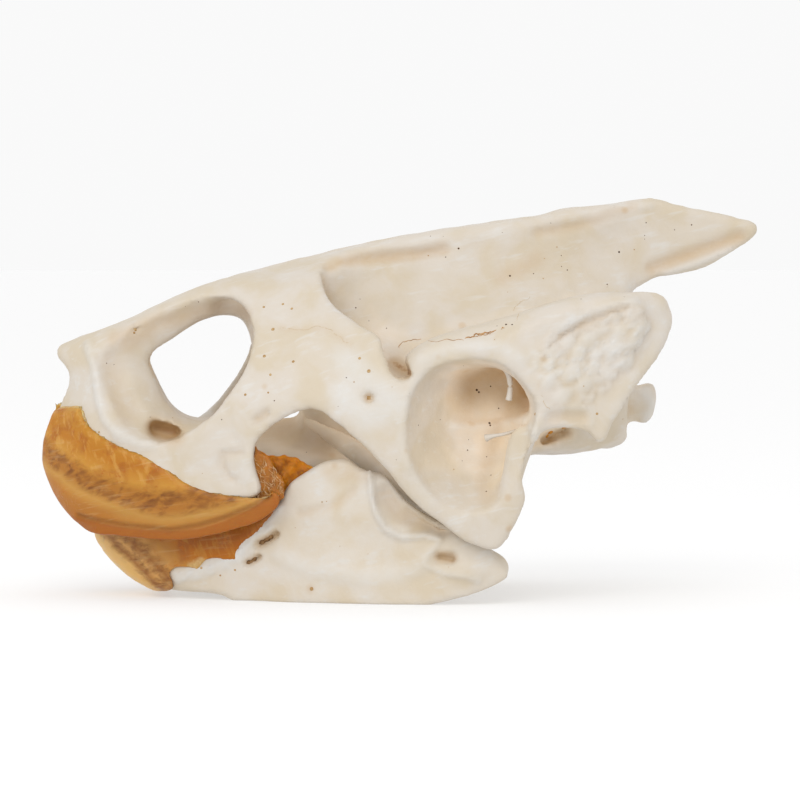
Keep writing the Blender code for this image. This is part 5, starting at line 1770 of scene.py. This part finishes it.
@dataclass
class CheekFilm:
    """The clear amber horn that shows behind the cheek, and the frayed edge before it.

    Attributes:
        clear: The clear part's side outline, with its least and greatest w.
        frayed: The frayed part's, in the same way.
        strands: How many frayed fibres stand out of it.
        seed: What fixes the fibres.
    """

    clear: tuple = (((-10.4, 10.1), (-9.3, 9.95), (-7.8, 9.85), (-6.5, 9.3), (-6.2, 8.7), (-7.3, 7.6),
                     (-8.6, 6.4), (-10.4, 6.4)), (6.9, 7.4))
    frayed: tuple = (((-10.3, 10.5), (-9.9, 10.2), (-9.3, 9.9), (-9.0, 9.3), (-8.6, 8.8), (-8.2, 8.1),
                      (-8.3, 7.4), (-8.8, 6.6), (-9.5, 6.2), (-10.3, 6.9)), (8.15, 8.7))
    strands: int = 120
    seed: int = 8

    @staticmethod
    def sheet(name: str, outline: Outline, between: Point) -> Body:
        """Makes one film on both sides."""
        near, far = between
        half = Body.prism(name, spline(outline, 3), (-far, -near))
        made = Body.fused(name, half.both(), 0.12).soften(2, 2)
        Sculptor(made).roughen(0.5, 0.2, 21.0)
        return made

    def fibres(self) -> list[list[tuple[Vector, float]]]:
        """Draws the frayed fibres as lines, with their half thickness."""
        rng = np.random.default_rng(self.seed)
        outline, (_, far) = self.frayed
        low = np.min(outline, axis=0)
        high = np.max(outline, axis=0)
        lines = []
        while len(lines) < self.strands:
            x, z = low + rng.random(2) * (high - low)
            if not inside((x, z), outline):
                continue
            turn = rng.normal(-1.1, 0.5)
            side = rng.choice((-1, 1))
            line = []
            for _ in range(int(rng.integers(4, 9))):
                if not inside((x, z), outline):
                    break
                line.append((Vector((x, side * (far + rng.uniform(0.0, 0.12)), z)), rng.uniform(0.009, 0.024)))
                turn += rng.normal(0, 0.35)
                x += 0.16 * math.cos(turn)
                z += 0.16 * math.sin(turn)
            if len(line) > 2:
                lines.append(line)
        return lines


@dataclass
class Studio:
    """A plain pale floor, soft white light and the camera.

    Attributes:
        target: What the camera looks at, in millimetres.
        distance: How far it stands off.
        azimuth: Its turn towards the nose, in degrees.
        elevation: Its height above the horizon, in degrees.
        lens: Its focal length in millimetres, with a 36 mm sensor.
        floor_size: The floor's radius in millimetres.
        sky: The brightness of the white all round.
    """

    target: Place = (0.0, 0.0, 13.5)
    distance: float = 311.0
    azimuth: float = -2.5
    elevation: float = 2.0
    lens: float = 200.0
    floor_size: float = 4000.0
    sky: float = 0.95

    def floor(self) -> None:
        """Lays the floor just under the jaw."""
        bm = bmesh.new()
        bmesh.ops.create_circle(bm, cap_ends=True, segments=96, radius=self.floor_size * TO_METRES)
        bmesh.ops.translate(bm, vec=(0, 0, -0.00003), verts=bm.verts)
        mesh = bpy.data.meshes.new("floor")
        bm.to_mesh(mesh)
        bm.free()
        floor = linked("floor", mesh)
        white = srgb(186, 186, 186)
        mesh.materials.append(PlainFinish("pale_floor", white, white, 50.0, 0.9, 0.95).material())

    def light(self, name: str, place: Place, size: float, power: float) -> None:
        """Hangs one soft square light that looks at the skull.

        Args:
            name: The light's name.
            place: Where it hangs, in millimetres.
            size: How wide it is, in millimetres.
            power: Its power in watts.
        """
        data = bpy.data.lights.new(name, "AREA")
        data.shape = "SQUARE"
        data.size = size * TO_METRES
        data.energy = power
        lamp = linked(name, data)
        lamp.location = Vector(place) * TO_METRES
        lamp.rotation_mode = "QUATERNION"
        lamp.rotation_quaternion = (Vector(self.target) - Vector(place)).to_track_quat("-Z", "Y")

    def camera(self) -> None:
        """Sets up the camera at the photograph's angle."""
        a = math.radians(self.azimuth)
        e = math.radians(self.elevation)
        back = Vector((math.sin(a) * math.cos(e), -math.cos(a) * math.cos(e), math.sin(e)))
        data = bpy.data.cameras.new("camera")
        data.lens = self.lens
        data.sensor_width = 36.0
        data.clip_start = 0.01
        data.clip_end = 20.0
        camera = linked("camera", data)
        camera.location = (Vector(self.target) + back * self.distance) * TO_METRES
        camera.rotation_mode = "QUATERNION"
        camera.rotation_quaternion = (-back).to_track_quat("-Z", "Y")
        bpy.context.scene.camera = camera

    def build(self) -> None:
        """Sets up the floor, the lights, the white surroundings and the camera."""
        scene = bpy.context.scene
        scene.view_settings.view_transform = "Standard"
        world = bpy.data.worlds.new("white")
        world.use_nodes = True
        world.node_tree.nodes["Background"].inputs["Color"].default_value = (1, 1, 1, 1)
        world.node_tree.nodes["Background"].inputs["Strength"].default_value = self.sky
        scene.world = world
        self.floor()
        self.light("key", (-90.0, -300.0, 250.0), 240.0, 0.5)
        self.camera()


def settle(body: Body, name: str, material: bpy.types.Material | None, nodes: Sequence[str] = ()) -> None:
    """Finishes a piece: turns it into metres, dresses it and ties it to the frame.

    Args:
        body: The piece in millimetres.
        name: The piece's name.
        material: Its material, or nothing where it has one already.
        nodes: The frame's nodes that it stands for.
    """
    mesh = body.obj.data
    body.obj.name = name
    mesh.name = name
    mesh.transform(Matrix.Scale(TO_METRES, 4))
    if material is not None:
        mesh.materials.clear()
        mesh.materials.append(material)
    mesh.shade_smooth()
    if nodes:
        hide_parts(*nodes)
    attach(body.obj, "root")
    log.info("%s: %d faces", name, len(mesh.polygons))


UPPER_FORMS = (
    # The first groove, along the biting edge, carries tan painted shade.
    Stroke(((-22.3, 5.75), (-21.9, 5.6), (-19.3, 5.2), (-16.0, 4.9), (-14.1, 5.25), (-12.2, 5.85), (-10.3, 6.7),
            (-9.3, 7.4)), 0.3, -0.16, (0.0, 12.0), Paint.TAN, 0.5, -2.0),
    Stroke(((-22.4, 5.1), (-19.6, 4.7), (-16.0, 4.45), (-12.3, 5.2), (-9.4, 6.7)), 0.45, -0.04, (0.0, 12.0),
           facing=-2.0),
    Stroke(((-24.6, 10.0), (-23.0, 8.6), (-20.0, 7.6), (-17.0, 7.0)), 0.9, -0.1, (0.0, 12.0), facing=-2.0),
    Stroke(((-23.4, 7.4), (-21.0, 6.6), (-17.0, 6.1), (-13.5, 6.5)), 0.6, 0.1, (0.0, 12.0), facing=-2.0),
    Stroke(((-25.2, 13.2), (-24.2, 13.4), (-22.2, 13.5), (-21.6, 12.4), (-20.7, 11.6), (-19.3, 10.9), (-17.6, 10.2), (-16.0, 9.3),
            (-14.9, 8.5), (-13.3, 7.9), (-11.4, 7.6), (-9.6, 7.5)), 0.8, -0.3, (0.0, 12.0), Paint.CHALK, 1.0, -2.0),
)

LOWER_FORMS = (
    Stroke(((-19.8, 3.6), (-17.6, 2.2), (-16.4, 1.2)), 0.5, -0.08, (0.0, 12.0), facing=-2.0),
    Stroke(((-20.6, 3.0), (-18.9, 1.6), (-17.2, 0.7)), 0.4, 0.06, (0.0, 12.0), facing=-2.0),
    Stroke(((-13.9, 2.7), (-14.6, 2.4), (-14.0, 2.3)), 0.7, -0.05, (0.0, 12.0), Paint.CHALK, 0.9, -2.0),
)

CRACKS = (
    (((-0.3, 17.2), (0.0, 17.6), (1.0, 17.8), (2.7, 17.95), (3.8, 17.98)), 0.022),
    (((3.85, 18.08), (4.3, 18.2), (4.75, 18.36), (5.3, 18.45), (5.9, 18.58)), 0.05),
    (((4.4, 18.18), (5.0, 18.3), (5.6, 18.42)), 0.03),
    (((6.2, 18.7), (6.5, 18.8)), 0.03),
)
SUTURES = (
    (((7.3, 19.2), (7.8, 20.0), (8.3, 20.4), (8.9, 20.75)), 0.014),
    (((-8.5, 18.7), (-7.1, 18.6), (-5.6, 18.8), (-4.8, 18.3), (-3.8, 17.6)), 0.011),
    (((8.9, 14.3), (9.2, 13.6), (9.5, 13.3)), 0.014),
)
# The jaw's two slits, drawn as brown cords: painted shade inside the openings.
SLITS = (
    (((-9.95, 3.9), (-9.5, 4.15), (-9.0, 4.5)), 0.17),
    (((-10.8, 2.55), (-10.45, 2.7), (-10.1, 3.0)), 0.15),
)
DARK_SPECKS = (
    (4.0, 24.1, 0.07), (3.1, 23.5, 0.04), (7.55, 22.2, 0.07), (9.2, 22.35, 0.04), (11.6, 22.6, 0.045),
    (11.2, 22.85, 0.035), (11.2, 23.6, 0.035), (15.3, 23.85, 0.07), (17.2, 25.9, 0.04), (19.2, 25.4, 0.035),
    (20.4, 25.75, 0.05), (17.1, 25.0, 0.035), (17.1, 24.75, 0.03), (14.4, 21.6, 0.05), (14.6, 20.85, 0.03),
    (11.7, 20.7, 0.04), (6.0, 18.9, 0.04), (6.6, 19.0, 0.07), (7.0, 19.0, 0.06), (4.9, 14.45, 0.08),
    (5.05, 14.3, 0.07), (5.85, 14.7, 0.05), (5.75, 12.2, 0.08), (5.8, 12.05, 0.06), (6.4, 13.2, 0.045),
    (2.3, 12.5, 0.035), (4.3, 11.1, 0.03), (4.2, 10.4, 0.05), (5.5, 9.95, 0.04), (3.8, 9.7, 0.03),
    (5.35, 7.7, 0.05), (4.9, 16.1, 0.04), (3.8, 16.2, 0.03), (-12.5, 12.5, 0.04), (-20.4, 16.2, 0.04),
    (-19.9, 16.1, 0.03), (-4.1, 15.4, 0.04), (-3.2, 20.0, 0.05), (-1.1, 18.6, 0.04), (-2.9, 20.6, 0.03),
    (-2.3, 19.1, 0.03), (-5.7, 6.9, 0.05), (-5.4, 6.95, 0.04), (-4.5, 3.9, 0.03), (-2.6, 3.4, 0.03),
    (-7.5, 5.1, 0.03), (-23.1, 9.6, 0.06),
)
SCRAPS = ((10.0, 11.15, 0.16), (10.2, 11.4, 0.2), (11.2, 11.75, 0.22), (11.55, 11.8, 0.17))
# Pores and small openings, drawn as tan lenses: painted shade inside each hole.
SHADED_PORES = (
    (-2.62, 14.05, 0.27),
    (-9.0, 18.6, 0.12), (-9.6, 16.8, 0.11), (-9.2, 15.55, 0.09), (-10.9, 14.2, 0.09), (-9.35, 14.35, 0.07),
    (-7.65, 16.45, 0.1), (-9.6, 20.1, 0.09), (-8.3, 20.3, 0.09), (-7.7, 20.0, 0.1), (-3.2, 16.7, 0.1),
    (-2.6, 15.85, 0.13), (-18.4, 18.55, 0.16), (-18.5, 18.3, 0.08), (-13.9, 2.2, 0.09), (-12.6, 1.7, 0.07),
    (-11.6, 2.1, 0.08), (-6.4, 0.95, 0.14), (10.9, 24.2, 0.05), (10.0, 23.4, 0.04), (8.5, 13.0, 0.1),
    (12.7, 13.0, 0.09), (-20.9, 11.5, 0.08), (1.9, 23.6, 0.05),
)


def main() -> None:
    """Builds the pieces in order and reports each."""
    logging.basicConfig(level=logging.INFO, format="%(message)s")
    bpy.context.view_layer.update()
    cranium = Cranium()
    skull = cranium.build()
    log.info("cranium built")
    jaw = Jaw()
    mandible = jaw.build()
    upper = Sheath("upper_beak", (
        (-23.9, 13.3), (-23.1, 13.5), (-22.1, 13.5), (-21.55, 12.2), (-20.7, 11.5), (-19.3, 10.75),
        (-17.6, 10.15), (-16.0, 9.2), (-14.9, 8.4), (-13.3, 7.8), (-11.4, 7.5), (-9.9, 7.45),
        (-9.2, 7.7), (-8.7, 7.5), (-8.6, 7.0), (-8.95, 6.35), (-10.3, 5.5), (-12.2, 4.85), (-14.5, 4.3),
        (-17.0, 4.2), (-19.3, 4.4), (-21.0, 4.5), (-21.9, 4.75), (-23.2, 6.0), (-24.15, 7.3),
        (-24.8, 8.9), (-24.95, 9.8), (-24.85, 10.7), (-24.5, 11.9),
    ), UPPER_FORMS, HornFinish(
        "upper_horn",
        ((-1.0, srgb(168, 104, 30)), (0.1, srgb(176, 116, 44)), (0.8, srgb(186, 138, 66)), (1.5, srgb(168, 110, 40)),
         (2.3, srgb(168, 110, 36)), (3.0, srgb(190, 136, 52)), (4.0, srgb(178, 114, 26)), (5.2, srgb(180, 122, 34)),
         (6.5, srgb(188, 138, 56))),
        srgb(112, 62, 20), (1.9, 1.1), srgb(170, 94, 10), srgb(204, 158, 82), srgb(156, 88, 22), srgb(204, 172, 118),
        (4.9, -16.0, 0.019, 0.055)))
    lower = Sheath("lower_beak", (
        (-21.6, 4.4), (-21.0, 3.4), (-19.9, 2.1), (-18.6, 1.1), (-17.5, 0.5), (-16.8, 0.3), (-16.2, 0.45),
        (-15.8, 0.75), (-15.9, 1.25), (-16.1, 1.8), (-15.6, 2.2), (-14.8, 2.2), (-14.1, 2.1), (-13.6, 2.7),
        (-12.9, 2.9), (-12.1, 2.75), (-11.5, 2.8), (-11.5, 3.25), (-11.1, 4.0), (-10.2, 4.65), (-9.4, 5.5),
        (-8.9, 6.4), (-10.0, 6.6), (-12.0, 5.8), (-15.0, 5.4), (-18.5, 5.4), (-21.3, 5.3),
    ), LOWER_FORMS, HornFinish(
        "lower_horn",
        ((-1.0, srgb(222, 182, 112)), (0.4, srgb(212, 168, 98)), (0.9, srgb(164, 112, 58)), (1.5, srgb(200, 152, 86)),
         (2.2, srgb(158, 106, 50)), (3.0, srgb(194, 144, 76)), (4.2, srgb(176, 120, 52)), (5.6, srgb(176, 104, 14)),
         (7.0, srgb(158, 88, 10))),
        srgb(122, 72, 30), (1.8, 1.9), srgb(180, 100, 8), srgb(190, 136, 54), srgb(150, 84, 30), srgb(206, 176, 120),
        (-2.8, -14.0, 0.0, 0.0), rise=0.0, lean=0.95), voxel=0.15)
    upper_body = upper.build(smooth_rings(half_rings(cranium.envelope, 6), 2))
    lower_body = lower.build(jaw.rings())
    film = CheekFilm()
    bone = cranium.dress(skull)
    outside = Surface(skull)
    jaw_bone = jaw.dress(mandible)
    jaw_outside = Surface(mandible)
    crack_brown = PlainFinish("crack_brown", srgb(186, 142, 92), srgb(152, 106, 62), 0.4)
    suture_tan = PlainFinish("suture_tan", srgb(198, 176, 140), srgb(188, 162, 122), 0.4)
    # Painted shade: brown cords in the jaw's slits.
    slit_shade = PlainFinish("slit_shade", srgb(158, 124, 86), srgb(118, 86, 54), 0.5)
    settle(Threads("slits", slit_shade, 0.05).laid(jaw_outside, SLITS), "slits", None)
    amber_scrap = PlainFinish("amber_scrap", srgb(206, 148, 62), srgb(186, 116, 40), 0.3)
    settle(Specks("scraps", SCRAPS, amber_scrap).build(outside), "scraps", None)
    settle(Threads("cracks", crack_brown).laid(outside, CRACKS), "cracks", None)
    settle(Threads("sutures", suture_tan).laid(outside, SUTURES), "sutures", None)
    speck_brown = PlainFinish("speck_brown", srgb(96, 66, 38), srgb(60, 40, 24), 0.3)
    # Painted shade: tan lenses in the pores and small openings.
    pore_shade = PlainFinish("pore_shade", srgb(186, 156, 112), srgb(164, 128, 82), 0.3)
    settle(Specks("specks", DARK_SPECKS, speck_brown, 40).build(outside), "specks", None)
    settle(Specks("pores", SHADED_PORES, pore_shade, 50, (0.025, 0.05), 6).build(outside), "pores", None)
    settle(Specks("jaw_pores", SHADED_PORES + DARK_SPECKS, pore_shade, 60, (0.02, 0.05), 9).build(jaw_outside), "jaw_pores",
           None)
    settle(skull, "skull", bone, ("cranium",))
    settle(mandible, "jaw", jaw_bone, ("mandible",))
    settle(upper_body, "upper_sheath", upper.dress(upper_body), ("upper_beak",))
    settle(lower_body, "lower_sheath", lower.dress(lower_body), ("lower_beak",))
    settle(film.sheet("cheek_film", *film.clear), "cheek_film", FilmFinish().material())
    torn = FilmFinish("torn_film", srgb(176, 112, 40), srgb(126, 74, 24), srgb(208, 168, 116), 0.6)
    settle(film.sheet("torn_film", *film.frayed), "torn_film", torn.material())
    strand = PlainFinish("strand_horn", srgb(220, 190, 148), srgb(186, 134, 74), 0.4, 0.4)
    settle(Threads("strands", strand).build(film.fibres()), "strands", None)
    rods = EarRods()
    for side, node in ((1, "columella_left"), (-1, "columella_right")):
        settle(rods.build(side), node.replace("columella", "ear_rods"), rods.finish.material(), (node,))
    Studio().build()


if __name__ == "__main__":
    main()
